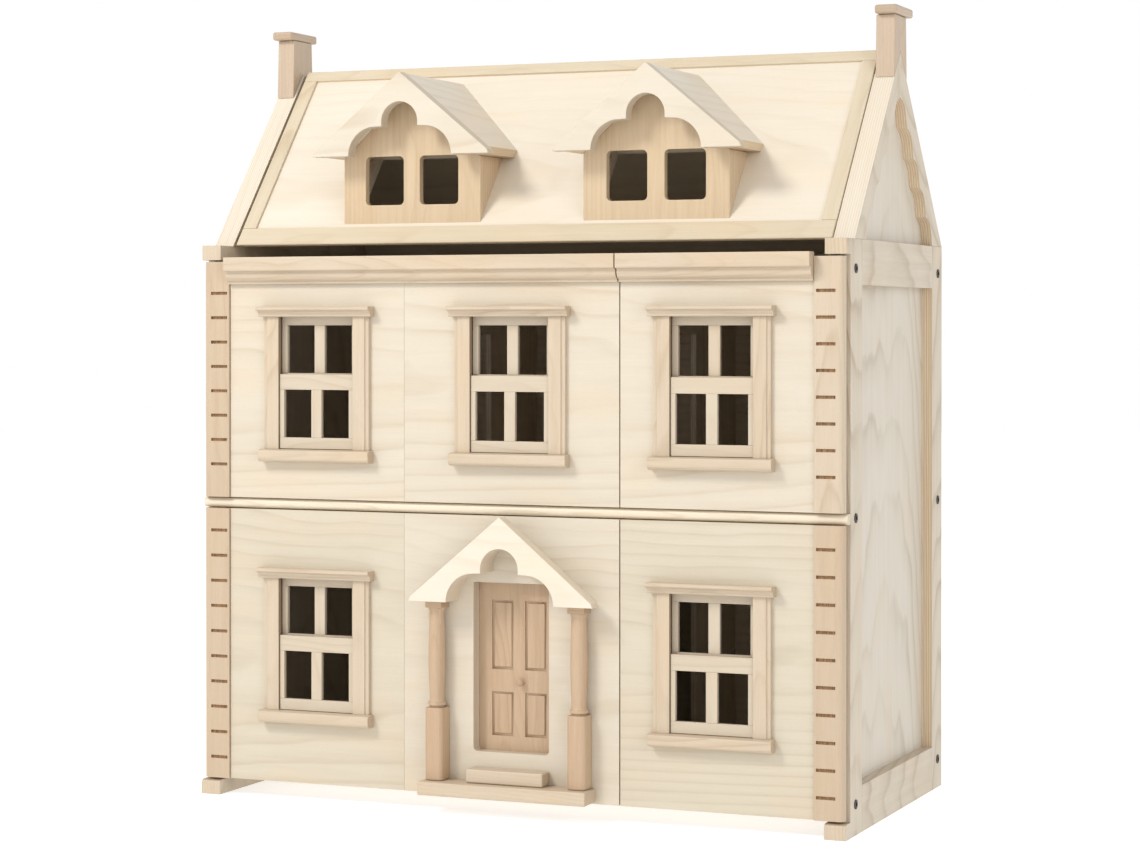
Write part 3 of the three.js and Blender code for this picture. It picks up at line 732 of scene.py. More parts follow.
class DOLLHOUSE_OT_end_walls(bpy.types.Operator):
    """Make the two end walls with their frames, recesses and scalloped gables"""
    bl_idname = "dollhouse.end_walls"
    bl_label = "End walls"

    def execute(self, context):
        edge = mm(sizes().fine)
        foot, block_out, lip = 14.3, 12, 14     # reach of the foot and of the eaves block, and height
        front = [(-foot, 0), (STILE[0], 0), (STILE[0], EAVES_Z), (-block_out, EAVES_Z),
                 (-block_out, EAVES_Z - lip), (0, EAVES_Z - lip), (0, lip), (-foot + 4, lip),
                 (-foot + 1.2, lip - 1.2), (-foot, lip - 4)]
        rake = (math.sin(PITCH), -math.cos(PITCH))
        none = (0, 0)
        # outline, grain, lean of the grain, and where the routed edge and the weather edge look
        parts = [
            (front, "ZYX", 0.0, none, none),
            (rect(STILE[1], DEPTH, 0, EAVES_Z), "ZYX", 0.0, (-1, 0), none),
            (rect(*STILE, 0, RAILS[0]), "YZX", 0.0, none, none),
            (rect(*STILE, RAILS[1], EAVES_Z), "YZX", 0.0, none, none),
            ([(EAVES_IN, EAVES_Z), (RIDGE_IN, APEX), *scallops(-1)], "YZX", -PITCH, rake,
             (-rake[0], -rake[1])),
            ([(DEPTH, EAVES_Z), (RIDGE_IN, APEX), *scallops(1)], "YZX", PITCH, (-rake[0], rake[1]),
             (rake[0], -rake[1])),
        ]
        tuck, gable_in, gable_down = 3, 21, 23.3
        gable = [(EAVES_IN + gable_in, EAVES_Z - tuck), (DEPTH - gable_in, EAVES_Z - tuck),
                 (RIDGE_IN, APEX - gable_down)]
        board_gap, recess, lap = 0.3, 10.3, 1
        for name, side in SIDES.items():
            piece = Piece(f"end_wall_{name}")
            low, high = sided(side, abs(WALL_IN), HALF_W)
            for outline, axes, lean, routed, weather in parts:
                solid = prism(X, at_front(outline), low, high, edge)
                start = piece.add(solid, axes, "face_frame", lean=lean)
                piece.paint(start, looking(routed), "routed")
                piece.paint(start, looking(weather), "roof_ply")
                piece.paint(start, in_front_of_wall, "trim_wood")
            inner, outer = sided(side, abs(WALL_IN) + board_gap, HALF_W - recess)
            panel = rect(STILE[0] - lap, STILE[1] + lap, RAILS[0] - lap, RAILS[1] + lap)
            for outline in (panel, gable):
                piece.add(prism(X, at_front(outline), inner, outer), "ZYX", "end_wall")
            piece.done("carcass", "end_wall", f"face_frame_{name}", f"end_board_{name}")
        return {"FINISHED"}


# ---- floors, partitions, back and rear roof ---------------------------------------------------
class DOLLHOUSE_OT_shell(bpy.types.Operator):
    """Make the floors, partitions, back, rear roof, ridge beam and belt moulding"""
    bl_idname = "dollhouse.shell"
    bl_label = "Floors and back"

    def execute(self, context):
        edge = mm(sizes().soft)
        plain = {"ground_floor": "XYZ", "first_floor": "XYZ", "attic_floor": "XYZ", "ridge_beam": "XZY",
                 "partition_ground_left": "ZYX", "partition_ground_right": "ZYX",
                 "partition_first_left": "ZYX", "partition_first_right": "ZYX"}
        for node, axes in plain.items():
            piece = Piece(f"{node}_board")
            # floors and partitions take the inner wood with its painted light
            piece.add(from_cad(node, edge), axes, "inner_wood")
            piece.done("carcass", "inner_wood", node)

        # the back panel reaches up to the underside of the rear roof
        roof_low, roof_high = span("rear_roof")
        low, high = span("back_panel")
        clear = 0.4
        top = [(y, roof_low.z + (roof_high.y - y) * SLOPE - clear) for y in (high.y, low.y)]
        board = [(low.y, low.z), (high.y, low.z), *top]
        back = Piece("back_panel_board")
        back.add(prism(X, board, low.x, high.x, edge), "XZY", "inner_wood")
        back.done("carcass", "inner_wood", "back_panel")

        roof = Piece("rear_roof_board")
        roof.add(from_cad("rear_roof", edge), "XYZ", "pale_ply", lean=PITCH)
        roof.done("carcass", "pale_ply", "rear_roof")

        low, high = span("belt_moulding")
        middle, radius = (low.z + high.z) / 2, (high.z - low.z) / 2
        nose = arc(low.y + radius, middle, radius, 90, 270, 24)
        belt = Piece("belt")
        belt.add(prism(X, [*nose, (high.y, low.z), (high.y, high.z)], low.x, high.x, edge, least=60),
                 "XZY", "belt_wood")
        belt.done("carcass", "honey_wood", "belt_moulding")
        return {"FINISHED"}


class DOLLHOUSE_OT_staircase(bpy.types.Operator):
    """Make the staircase with its treads"""
    bl_idname = "dollhouse.staircase"
    bl_label = "Staircase"

    def execute(self, context):
        low, high = span("staircase")
        count, run = 12, 15.5
        rise = (high.z - low.z) / count
        nosing, proud, forward = 1.6, 2.4, 1.0
        thick = mm(sizes().tread)
        piece = Piece("stair_flight")
        piece.add(from_cad("staircase", 0.3), "XYZ", "trim_wood")
        tree = tread_tree(count - 1, run * MM, rise * MM, (run + nosing) * MM,
                          (high.y - low.y + proud) * MM, thick * MM, WOODS["trim_wood"])
        start = (low.x + (run - nosing) / 2, (low.y + high.y) / 2 - forward, low.z + rise + thick / 2)
        treads = bmesh.new()
        treads.from_mesh(tree.mesh_of([start]))
        treads.transform(Matrix.Scale(1 / MM, 4))
        piece.add(soften(treads, 0.6), "YXZ", "trim_wood")
        piece.done("carcass", "inner_wood", "staircase")
        return {"FINISHED"}


class DOLLHOUSE_OT_chimneys(bpy.types.Operator):
    """Make the chimneys and their caps"""
    bl_idname = "dollhouse.chimneys"
    bl_label = "Chimneys"

    def execute(self, context):
        for name in SIDES:
            stack = Piece(f"chimney_stack_{name}")
            stack.add(from_cad(f"chimney_{name}", mm(sizes().soft)), "ZYX", "chimney_wood")
            stack.done("carcass", "tan_wood", f"chimney_{name}")
            low, high = span(f"chimney_cap_{name}")
            cap = Piece(f"chimney_top_{name}")
            cap.add(block(low, high, mm(sizes().worn) * 1.3, 4), "YXZ", "chimney_wood")
            cap.done("carcass", "tan_wood", f"chimney_cap_{name}")
        return {"FINISHED"}


class DOLLHOUSE_OT_bolts(bpy.types.Operator):
    """Put the black bolt heads on the end walls, at the ends of the three floors"""
    bl_idname = "dollhouse.bolts"
    bl_label = "Bolts"

    def execute(self, context):
        floors = ("ground_floor", "first_floor", "attic_floor")
        heights = [sum(corner.z for corner in span(node)) / 2 for node in floors]
        out = mm(sizes().bolt_out)
        sunk, inset = 0.4, 15
        spots = [(side * (HALF_W + (out - sunk) / 2), y, z) for side in SIDES.values()
                 for y in (FRONT + inset, BACK - inset) for z in heights]
        tree = bolt_tree(sizes().bolt, (out + sunk) * MM, WOODS["bolt"])
        obj = bpy.data.objects.new("bolt_heads", tree.mesh_of(spots))
        context.scene.collection.objects.link(obj)
        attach(obj, "carcass")
        return {"FINISHED"}


# ---- door panels, corner strips and cornices --------------------------------------------------
ENTRY = {"x": 1.5, "wide": 75, "z": (57, 212), "round": 4}     # opening for the entrance door
LINING = {"half": 46.5, "z": (48, 221)}                        # board round it, behind the panel
HOLE = {"half": 43.5, "z": (8, 139.5)}                         # window opening, above the sill's foot
PAST = 2                                                       # how far a cutter runs past a board


def entry_outline():
    half, (low, high), r = ENTRY["wide"] / 2, ENTRY["z"], ENTRY["round"]
    left, right = ENTRY["x"] - half, ENTRY["x"] + half
    return [*arc(left + r, low + r, r, 180, 270, CORNER), *arc(right - r, low + r, r, 270, 360, CORNER),
            (right, high), (left, high)]


def window_hole(number):
    low, high = span(f"window_{number}_casing")
    middle = (low.x + high.x) / 2
    foot, head = (low.z + z for z in HOLE["z"])
    return block((middle - HOLE["half"], FACE - PAST, foot), (middle + HOLE["half"], FRONT + 8, head))


class DOLLHOUSE_OT_doors(bpy.types.Operator):
    """Make the four door panels, boards side by side, with their window and entrance openings"""
    bl_idname = "dollhouse.doors"
    bl_label = "Door panels"

    def execute(self, context):
        edge = mm(sizes().fine)
        # the windows in each board of a door, from the left
        windows = {"upper_left": ([1], [2]), "upper_right": ([3],),
                   "lower_left": ([4], []), "lower_right": ([5],)}
        for name, bays in windows.items():
            low, high = span(f"door_{name}")
            high.y = FACE + PANEL_T
            seams = [low.x, BAY, high.x] if len(bays) == 2 else [low.x, high.x]
            lower = name.startswith("lower")
            piece = Piece(f"door_panel_{name}")
            for (x0, x1), numbers in zip(zip(seams, seams[1:]), bays):
                cutters = [window_hole(n) for n in numbers]
                if name == "lower_left" and not numbers:
                    cutters.append(prism(Y, entry_outline(), FACE - PAST, high.y + PAST))
                board = block((x0, low.y, low.z), (x1, high.y, high.z))
                wood_name = "lower_ply" if lower and numbers else "pale_ply"
                piece.add(carved(board, cutters, edge), "XZY", wood_name)
            if name == "lower_left":
                back = span("door_lower_left")[1].y
                half = LINING["half"]
                board = rect(ENTRY["x"] - half, ENTRY["x"] + half, *LINING["z"])
                lining = prism(Y, board, high.y - 0.5, back)
                opening = prism(Y, entry_outline(), high.y - PAST, back + PAST)
                piece.add(carved(lining, [opening], edge), "ZXY", "pale_ply")
            piece.done(f"door_{name}", "pale_ply", f"door_{name}")
        return {"FINISHED"}


class DOLLHOUSE_OT_strips(bpy.types.Operator):
    """Make the notched corner strips"""
    bl_idname = "dollhouse.strips"
    bl_label = "Corner strips"

    def execute(self, context):
        notch_half, notch_deep, notch_end, past = 1.4, 2.0, 2.0, 1
        rows = {"upper": (315, 23.2, 8), "lower": (36, 24, 10)}     # first notch, pitch, count
        for level, (first, pitch, count) in rows.items():
            for name, side in SIDES.items():
                low, high = span(f"corner_strip_{level}_{name}")
                radius = (high.y - low.y) / 2
                inner, outer = sorted((abs(low.x), abs(high.x)))
                pin = (outer - radius, (low.y + high.y) / 2)
                outline = [(inner, low.y), (inner, high.y), *arc(*pin, radius, 90, -90, 24)]
                body = prism(Z, [(side * x, y) for x, y in outline], low.z, high.z)
                rest = [first + pitch * i for i in range(count)]
                ends = sided(side, inner + notch_end, pin[0] - notch_end)
                cutters = [block((ends[0], low.y - past, z - notch_half),
                                 (ends[1], low.y + notch_deep, z + notch_half)) for z in rest]
                piece = Piece(f"corner_strip_{level}_{name}_wood")
                wood_name = "trim_wood" if (level, name) == ("upper", "right") else "strip_wood"
                start = piece.add(carved(body, cutters, 0.3), "ZXY", wood_name)

                def in_notch(place, normal, front=low.y, rest=rest, pin_x=pin[0]):
                    near = min(abs(place.z - z) for z in rest)
                    deep = front + 0.25 < place.y < front + notch_deep + 0.2
                    return near < notch_half + 0.25 and deep and abs(place.x) < pin_x - notch_end + 0.3

                piece.paint(start, in_notch, "burnt")
                piece.done(f"door_{level}_{name}", "trim_wood", f"corner_strip_{level}_{name}")
        return {"FINISHED"}


class DOLLHOUSE_OT_cornices(bpy.types.Operator):
    """Make the two lengths of cornice"""
    bl_idname = "dollhouse.cornices"
    bl_label = "Cornices"

    def execute(self, context):
        for name in SIDES:
            low, high = span(f"cornice_{name}")
            swell = arc(low.y + 12.2, low.z + 9.6, 7.8, 252, 180, 12)
            outline = [(high.y, low.z), (swell[0][0], low.z), *swell, (low.y + 4.4, low.z + 11.4),
                       (low.y + 0.9, low.z + 12.2), (low.y, low.z + 13.2), (low.y, high.z),
                       (high.y, high.z)]
            piece = Piece(f"cornice_{name}_wood")
            piece.add(prism(X, outline, low.x, high.x, mm(sizes().soft), 3, 35), "XZY", "trim_wood")
            piece.done(f"door_upper_{name}", "trim_wood", f"cornice_{name}")
        return {"FINISHED"}


# ---- windows ----------------------------------------------------------------------------------
PANE = {"wide": 28.6, "high": 45.0, "bar": 10.8}
HALF = 39.0                            # half of the opening between the jambs
SILL_TOP = 12                          # heights above the foot of the sill
UPPER_SASH = 74
CAP_FOOT = 136.5
# the lining boards of each window hole are dark with painted shade
REVEAL = {"x": (41, 43.2), "foot": (8.3, 12.2), "head": (137, 139.2)}     # dark lining of the hole


def glazed(piece, x, low_z, rails, stile_out, front, back, edge):
    """Adds a sash with two panes: two rails of the given heights, stiles and a bar between them."""
    bar = PANE["bar"] / 2
    inner = bar + PANE["wide"]
    low, high = low_z + rails[0], low_z + rails[0] + PANE["high"]
    for z0, z1 in ((low_z, low), (high, high + rails[1])):
        rail = block((x - stile_out, front, z0), (x + stile_out, back, z1), edge)
        piece.add(rail, "XZY", "cream_wood")
    for side in SIDES.values():
        x0, x1 = sorted((x + side * inner, x + side * stile_out))
        piece.add(block((x0, front, low), (x1, back, high), edge), "ZXY", "cream_wood")
    piece.add(block((x - bar, front + 0.2, low), (x + bar, back, high), edge), "ZXY", "cream_wood")


class DOLLHOUSE_OT_windows(bpy.types.Operator):
    """Make the casings, with caps, sills and fixed upper sashes, and the sliding lower sashes"""
    bl_idname = "dollhouse.windows"
    bl_label = "Windows"

    def execute(self, context):
        bodies = frame["record"]["behaviour"]["bodies"]
        owners = {node: body for body, nodes in bodies.items() for node in nodes}
        fine = mm(sizes().fine)
        for number in range(1, 6):
            node = f"window_{number}_casing"
            low, high = span(node)
            x, z, cap, top = (low.x + high.x) / 2, low.z, low.z + CAP_FOOT, low.z + SILL_TOP
            piece = Piece(f"casing_{number}")
            jamb = [(HALF, FACE), (HALF, FACE - 5.4), (HALF + 12.2, FACE - 5.4),
                    (HALF + 12.6, FACE - 3.8), (HALF + 16, FACE - 3.8), (HALF + 16, FACE)]
            for side in SIDES.values():
                outline = [(x + side * a, b) for a, b in jamb]
                start = piece.add(prism(Z, outline, top, cap, fine), "ZXY", "trim_wood")
                # the inner face of each jamb is given painted shade
                piece.paint(start, lambda place, n, way=side: n.x * way < -0.8, "reveal")
            front = low.y
            cap_line = [(FACE, cap), (front + 5.9, cap), (front + 5.0, cap + 0.9),
                        (front + 5.0, cap + 2.8), *arc(front + 1.6, cap + 2.4, 3.2, 0, 90, 8),
                        (front + 0.8, cap + 5.9), (front, cap + 6.7), (front, high.z - 0.8),
                        (front + 0.8, high.z), (FACE, high.z)]
            piece.add(prism(X, cap_line, low.x, high.x, fine, 2, 40), "XZY", "trim_wood")
            lip = front + 2.0
            sill = [(FACE, z), (lip + 4.4, z), *arc(lip + 3.8, z + 4.2, 3.8, 270, 180, 8),
                    (lip, z + 9.6), *arc(lip + 1.6, z + 9.6, 1.6, 180, 90, 5), (FACE - 5.6, top),
                    (FACE, top)]
            piece.add(prism(X, sill, low.x + 1, high.x - 1, fine, 2, 40), "XZY", "trim_wood")
            inner, outer = REVEAL["x"]
            foot, head = REVEAL["foot"][0], REVEAL["head"][1]
            near, deep = FACE - 0.3, high.y
            # lining boards round the hole, dark with painted shade
            for side in SIDES.values():
                x0, x1 = sorted((x + side * inner, x + side * outer))
                piece.add(block((x0, near, z + foot), (x1, deep, z + head)), "ZYX", "reveal")
            for z0, z1 in (REVEAL["foot"], REVEAL["head"]):
                board = block((x - outer, near, z + z0), (x + outer, deep, z + z1))
                piece.add(board, "XYZ", "reveal")
            glazed(piece, x, z + UPPER_SASH, (9.5, 9.5), HALF + 0.8, FRONT - 7.4, FRONT - 3, fine)
            piece.done(owners[node], "trim_wood", node)

            node = f"window_{number}_sash"
            low, high = span(node)
            piece = Piece(f"sash_{number}_wood")
            glazed(piece, x, low.z, (10.5, 14.5), HALF - 0.4, low.y, FRONT - 9.6, fine)
            runner, runner_y = (35, 40.6), FRONT - 10.4
            for side in SIDES.values():
                x0, x1 = sorted(x + side * a for a in runner)
                piece.add(block((x0, runner_y, low.z), (x1, high.y, high.z)), "ZXY", "cream_wood")
            piece.done(owners[node], "pale_ply", node)
        return {"FINISHED"}


# ---- entrance and porch -----------------------------------------------------------------------
class DOLLHOUSE_OT_entrance(bpy.types.Operator):
    """Make the panelled front door and its knob"""
    bl_idname = "dollhouse.entrance"
    bl_label = "Front door"

    def execute(self, context):
        low, high = span("entrance_door")
        piece = Piece("front_door_leaf")
        piece.add(from_cad("entrance_door", 0.35), "ZXY", "tan_wood")
        groove, wide, fielded, bevel = 2.1, 21.5, (0.35, 1.9), 0.9
        for x in (ENTRY["x"] - 24.5, ENTRY["x"] + 8.5):
            for z0, z1 in ((131.5, 195), (70.5, 111)):
                near = (x + groove, low.y + fielded[0], z0 + groove)
                far = (x + wide - groove, low.y + fielded[1], z1 - groove)
                piece.add(block(near, far, bevel, 3), "ZXY", "tan_wood")
        piece.done("entrance_leaf", "tan_wood", "entrance_door")

        low, high = span("entrance_knob")
        base = high.y
        profile = [(0, 0), (2.9, 0), (3.0, 0.5), (2.4, 0.9), (1.5, 1.3), (1.4, 2.4), (2.4, 3.1),
                   (3.2, 4.1), (3.4, 5.0), (3.1, 5.9), (2.2, 6.6), (1.1, 6.85), (0, 6.9)]
        knob = turned(profile, 0, 0, 40)
        middle = ((low.x + high.x) / 2, base, (low.z + high.z) / 2)
        knob.transform(Matrix.Translation(middle) @ Matrix.Rotation(math.pi / 2, 4, "X"))
        piece = Piece("front_door_knob")
        piece.add(knob, "YXZ", "tan_wood")
        piece.done("entrance_leaf", "tan_wood", "entrance_knob", sharp=60)
        return {"FINISHED"}


PEDIMENT_T = 14                        # thickness of the front board of a pediment
LET_IN = 0.6                           # how far the piece behind is let into it


def pediment(wide, high):
    """Gable board with a three-lobed arch, about its middle and on its base."""
    lobe, shoulder, spring, crown = 18.4, 53, 27, 50
    left = [*arc(spring - shoulder, 0, spring, 180, 90, 18), (-lobe, spring + 0.4)]
    right = [(-a, b) for a, b in reversed(left)]
    arch = [*left, *arc(0, crown - lobe, lobe, 180, 0, 32), *right]
    half, tip_in, tip_up = wide / 2, 1.5, 4
    return [(-half, 0), *arch, (half, 0), (half - tip_in, tip_up), (0, high), (tip_in - half, tip_up)]


def shifted(points, x, z):
    return [(a + x, b + z) for a, b in points]


class DOLLHOUSE_OT_porch(bpy.types.Operator):
    """Make the porch: pediment, turned posts on square pedestals, and the steps"""
    bl_idname = "dollhouse.porch"
    bl_label = "Porch"

    def execute(self, context):
        body, soft, worn = "door_lower_left", mm(sizes().soft), mm(sizes().worn)
        low, high = span("porch_pediment")
        x = (low.x + high.x) / 2
        wide, tall = high.x - low.x, high.z - low.z
        piece = Piece("porch_gable")
        board = shifted(pediment(wide, tall), x, low.z)
        backing = shifted(pediment(wide - 14, tall - 8), x, low.z)
        piece.add(prism(Y, board, low.y, low.y + PEDIMENT_T, soft, 3), "XZY", "roof_ply")
        piece.add(prism(Y, backing, low.y + PEDIMENT_T - LET_IN, FACE), "XZY", "roof_ply")
        piece.done(body, "pale_ply", "porch_pediment")

        for name in SIDES:
            low, high = span(f"porch_post_{name}")
            x, y = (low.x + high.x) / 2, (low.y + high.y) / 2
            half, cut, pedestal = (high.x - low.x) / 2, 2.4, 66.5
            plan = [(cut - half, -half), (half - cut, -half), (half, cut - half), (half, half),
                    (-half, half), (-half, cut - half)]
            plan = [(x + a, y + b) for a, b in plan]
            piece = Piece(f"post_{name}")
            piece.add(prism(Z, plan, low.z, low.z + pedestal, soft * 1.4, 3), "ZXY", "tan_wood")
            profile = [(0, 96), (6.6, 96.4), (6.9, 98.2), (8.3, 99.0), (8.6, 100.2), (8.2, 101.4),
                       (7.2, 102.4), (6.7, 104.2), (6.6, 107), (6.9, 112), (7.3, 120), (7.7, 132),
                       (7.8, 145), (7.6, 160), (7.2, 174), (6.9, 182), (6.8, 185), (7.4, 186.4),
                       (7.9, 187.4), (7.9, 188.6), (0, 188.8)]
            piece.add(turned(profile, x, y, sizes().turning), "ZXY", "tan_wood")
            cap, cap_z = 8.3, 188.4
            top = block((x - cap, y - cap, cap_z), (x + cap, y + cap, high.z), 0.6)
            piece.add(top, "XYZ", "tan_wood")
            piece.done(body, "tan_wood", f"porch_post_{name}")

        for node in ("porch_step", "doorstep"):
            low, high = span(node)
            piece = Piece(f"{node}_board")
            piece.add(block(low, high, worn, 4), "XYZ", "trim_wood")
            piece.done(body, "honey_wood", node)
        return {"FINISHED"}


# ---- roof and dormers -------------------------------------------------------------------------
RUN = (RIDGE - EAVES) / math.cos(PITCH)
SLOPE_PLACE = Matrix.Translation((0, EAVES * MM, EAVES_Z * MM)) @ Matrix.Rotation(PITCH, 4, "X")
DORMERS = {n: sum(corner.x for corner in span(f"dormer_{n}_body")) / 2 for n in (1, 2)}
DORMER_HALF = (span("dormer_1_body")[1].x - span("dormer_1_body")[0].x) / 2


GAP = 0.3                              # clearance of the roof at the ridge and along the eaves
CUT_FOOT, CUT_HEAD = 30, 118           # the openings under the dormers, up the slope
CUT_SIDE = 8.5                         # from the outside of a dormer to its opening


def ridge_cut(height):
    """How far up the slope the vertical cut at the ridge meets a given height above the slope."""
    return (RIDGE - EAVES - GAP + height * math.sin(PITCH)) / math.cos(PITCH)


def level_cut(height):
    """How far up the slope the level cut along the eaves meets a given height above the slope."""
    return max(0.0, -GAP - height * math.cos(PITCH)) / math.sin(PITCH)


class DOLLHOUSE_OT_roof(bpy.types.Operator):
    """Make the lifting front roof: a recessed field in a raised frame"""
    bl_idname = "dollhouse.roof"
    bl_label = "Front roof"

    def execute(self, context):
        edge, worn = mm(sizes().soft), mm(sizes().worn)
        low, high = span("roof_panel")
        left, right = low.x, high.x
        # heights above the slope, then widths of the frame
        field, top, under, base = -0.4, 2.0, -2.0, -10.0
        stile, foot, head, chamfer = 14, 21, RUN - 11, 0.6
        piece = Piece("front_roof")
        board = prism(X, [(chamfer, base), (ridge_cut(base), base), (ridge_cut(field), field),
                          (chamfer, field)], left, right)
        half = DORMER_HALF - CUT_SIDE
        cutters = [block((x - half, CUT_FOOT, base - 5), (x + half, CUT_HEAD, 5))
                   for x in DORMERS.values()]
        below, above, out = -40, 10, -20
        eaves = [(out, below), (level_cut(below), below), (level_cut(above), above), (out, above)]
        cutters.append(prism(X, eaves, left - 1, right + 1))
        piece.add(carved(board, cutters, edge), "XYZ", "roof_ply", SLOPE_PLACE)
        nose = [(level_cut(base), base), (foot - 3, base), (foot - 3, -1), (foot, -1), (foot, top),
                (chamfer, top), (0, top - chamfer), (0, 0)]
        piece.add(prism(X, nose, left, right, worn * 0.6, 3, 60), "XYZ", "honey_wood", SLOPE_PLACE)
        crest = [(head, under), (ridge_cut(under), under), (ridge_cut(top), top), (head, top)]
        piece.add(prism(X, crest, left, right, edge), "XYZ", "honey_wood", SLOPE_PLACE)
        for x0, x1 in ((left, left + stile), (right - stile, right)):
            piece.add(block((x0, foot, under), (x1, head, top), edge), "YXZ", "honey_wood", SLOPE_PLACE)
        piece.done("roof_front", "honey_wood", "roof_panel")
        return {"FINISHED"}


def below_slope():
    """Cutter that takes a dormer off just above the front roof."""
    gap, before, past, floor, reach = 0.8, 100, 60, 300, 400
    outline = [(EAVES - before, EAVES_Z - before * SLOPE - gap),
               (RIDGE + past, APEX + past * SLOPE - gap), (RIDGE + past, floor), (EAVES - before, floor)]
    return prism(X, outline, -reach, reach)


class DOLLHOUSE_OT_dormers(bpy.types.Operator):
    """Make the two dormers with their arched gable boards"""
    bl_idname = "dollhouse.dormers"
    bl_label = "Dormers"

    def execute(self, context):
        soft, fine = mm(sizes().soft), mm(sizes().fine)
        wall, drop, light, pillar = 8, 75, 39.6, 17
        outer, inner, thick, lip = 83, 70, 12, 7.5
        for number, x in DORMERS.items():
            gable = f"dormer_{number}_roof"
            low, high = span(gable)
            wide, tall = high.x - low.x, high.z - low.z
            base, front = low.z, FRONT + 29
            piece = Piece(f"dormer_{number}_front")
            shape = [(-DORMER_HALF, -drop), (DORMER_HALF, -drop), (DORMER_HALF, -0.5), (inner, -0.1),
                     (0, tall - thick - 0.1), (-inner, -0.1), (-DORMER_HALF, -0.5)]
            cutters = []
            for side in SIDES.values():
                x0, x1 = sorted((x + side * pillar / 2, x + side * (pillar / 2 + light)))
                pane = soft_rect(x0, x1, base - 45, base + 0.7, 4.5)
                cutters.append(prism(Y, pane, front - 1, front + wall + 1))
            face = prism(Y, shifted(shape, x, base), front, front + wall)
            # the front and the cheeks take the dormer wood with its painted shade
            piece.add(carved(face, [*cutters, below_slope()], soft, 3), "ZXY", "dormer_wood")
            for side in SIDES.values():
                x0, x1 = sorted((x + side * DORMER_HALF, x + side * (DORMER_HALF - wall)))
                cheek = block((x0, front + wall, base - drop), (x1, FRONT + 120, base - 0.5))
                piece.add(carved(cheek, [below_slope()], fine), "ZYX", "dormer_wood")
            piece.done("roof_front", "trim_wood", f"dormer_{number}_body")

            piece = Piece(f"dormer_{number}_gable")
            board = shifted(pediment(wide, tall), x, base)
            piece.add(prism(Y, board, low.y, low.y + PEDIMENT_T, soft, 3), "XZY", "pale_ply")
            roof = [(-outer, 0), (-inner, 0), (0, tall - thick), (inner, 0), (outer, 0), (outer, lip),
                    (0, tall - 0.4), (-outer, lip)]
            shell = prism(Y, shifted(roof, x, base), low.y + PEDIMENT_T - LET_IN, RIDGE + 10)
            start = piece.add(carved(shell, [below_slope()], fine), "YXZ", "roof_ply")
            # the ends and undersides of the dormer roof take the darker dormer wood, painted shade under
            # the eaves
            piece.paint(start, lambda place, n: abs(n.x) > 0.9 or n.z < -0.9, "dormer_wood")
            piece.done("roof_front", "pale_ply", gable)
        return {"FINISHED"}


# ---- studio -----------------------------------------------------------------------------------
# lamps and camera in metres and watts, angles in degrees
LAMPS = {
    "key": {"place": (-1.05, -1.9, 2.1), "target": (0, 0, 0.45), "power": 40, "wide": 0.8,
            "tint": (1.0, 0.985, 0.96)},
    "fill": {"place": (2.4, -1.6, 1.3), "target": (0, 0, 0.35), "power": 14, "wide": 1.6,
             "tint": (0.97, 0.985, 1.0)},
}
LENS = {"length": 87.056, "sensor": 36, "shift": -0.078, "far": 60}
VIEW = {"x": 1.01644, "from_front": -2.30765, "z": 0.44765, "turn": 22.61, "pitch": -0.29}


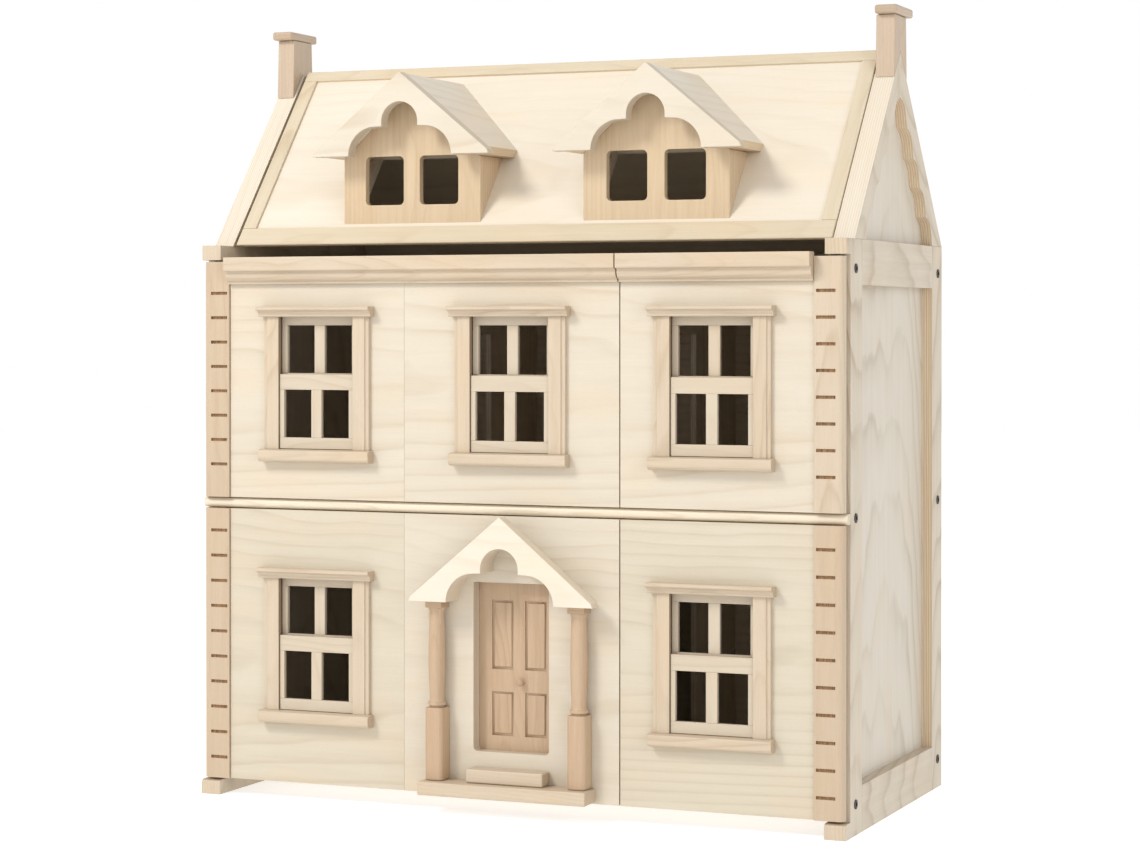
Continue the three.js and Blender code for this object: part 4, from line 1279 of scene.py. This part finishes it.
class DOLLHOUSE_OT_stage(bpy.types.Operator):
    """Set up the floor, the soft lights and the camera"""
    bl_idname = "dollhouse.stage"
    bl_label = "Studio"

    def execute(self, context):
        scene = context.scene
        radius, steps, thick = 9000, 144, 10
        disc = arc(0, 0, radius, 0, 360 - 360 / steps, steps - 1)
        floor = as_object("floor", prism(Z, disc, -thick, 0))
        floor.data.transform(Matrix.Scale(MM, 4))
        floor.data.materials.append(paper_floor("floor paper"))

        world = bpy.data.worlds.new("studio")
        world.use_nodes = True
        nodes, links = world.node_tree.nodes, world.node_tree.links
        # white round the foot of the sky, a little greyer overhead
        height = nodes.new("ShaderNodeSeparateXYZ")
        links.new(nodes.new("ShaderNodeTexCoord").outputs["Object"], height.inputs[0])
        sky = nodes.new("ShaderNodeValToRGB")
        Shader.stops(sky.color_ramp, ((0.22, 1.0), (0.75, 0.65)))
        links.new(height.outputs["Z"], sky.inputs[0])
        links.new(sky.outputs[0], nodes["Background"].inputs["Color"])
        nodes["Background"].inputs["Strength"].default_value = 1.0
        scene.world = world

        for name, lamp in LAMPS.items():
            data = bpy.data.lights.new(name, "AREA")
            data.shape, data.size = "DISK", lamp["wide"]
            data.energy, data.color = lamp["power"], lamp["tint"]
            obj = bpy.data.objects.new(name, data)
            place, target = Vector(lamp["place"]), Vector(lamp["target"])
            obj.location = place
            obj.rotation_euler = (target - place).to_track_quat("-Z", "Y").to_euler()
            scene.collection.objects.link(obj)

        data = bpy.data.cameras.new("camera")
        data.lens, data.sensor_width, data.shift_y = LENS["length"], LENS["sensor"], LENS["shift"]
        data.clip_end = LENS["far"]
        camera = bpy.data.objects.new("camera", data)
        camera.location = (VIEW["x"], VIEW["from_front"] + FRONT * MM, VIEW["z"])
        camera.rotation_euler = (math.radians(90 + VIEW["pitch"]), 0, math.radians(VIEW["turn"]))
        scene.collection.objects.link(camera)
        scene.camera = camera
        scene.view_settings.view_transform = "Standard"
        return {"FINISHED"}


STEPS = (DOLLHOUSE_OT_end_walls, DOLLHOUSE_OT_shell, DOLLHOUSE_OT_staircase, DOLLHOUSE_OT_chimneys,
         DOLLHOUSE_OT_bolts, DOLLHOUSE_OT_doors, DOLLHOUSE_OT_strips, DOLLHOUSE_OT_cornices,
         DOLLHOUSE_OT_windows, DOLLHOUSE_OT_entrance, DOLLHOUSE_OT_porch, DOLLHOUSE_OT_roof,
         DOLLHOUSE_OT_dormers, DOLLHOUSE_OT_stage)


class DOLLHOUSE_PT_panel(bpy.types.Panel):
    """Lists the parts of the dollhouse"""
    bl_label = "Dollhouse"
    bl_idname = "DOLLHOUSE_PT_panel"
    bl_space_type = "VIEW_3D"
    bl_region_type = "UI"
    bl_category = "Dollhouse"

    def draw(self, context):
        for group in (context.scene.dollhouse_sizes, context.scene.dollhouse_colours):
            for name in group.__annotations__:
                self.layout.prop(group, name)
        for step in STEPS:
            self.layout.operator(step.bl_idname)


CLASSES = (DollhouseSizes, DollhouseColours, *STEPS, DOLLHOUSE_PT_panel)


def register():
    for made in CLASSES:
        bpy.utils.register_class(made)
    bpy.types.Scene.dollhouse_sizes = PointerProperty(type=DollhouseSizes)
    bpy.types.Scene.dollhouse_colours = PointerProperty(type=DollhouseColours)


def unregister():
    del bpy.types.Scene.dollhouse_colours
    del bpy.types.Scene.dollhouse_sizes
    for made in reversed(CLASSES):
        bpy.utils.unregister_class(made)


def main():
    register()
    make_woods(bpy.context.scene.dollhouse_colours)
    for step in STEPS:
        group, name = step.bl_idname.split(".")
        result = getattr(getattr(bpy.ops, group), name)()
        if result != {"FINISHED"}:
            raise RuntimeError(f"{step.bl_label} did not finish")


if __name__ == "__main__":
    main()
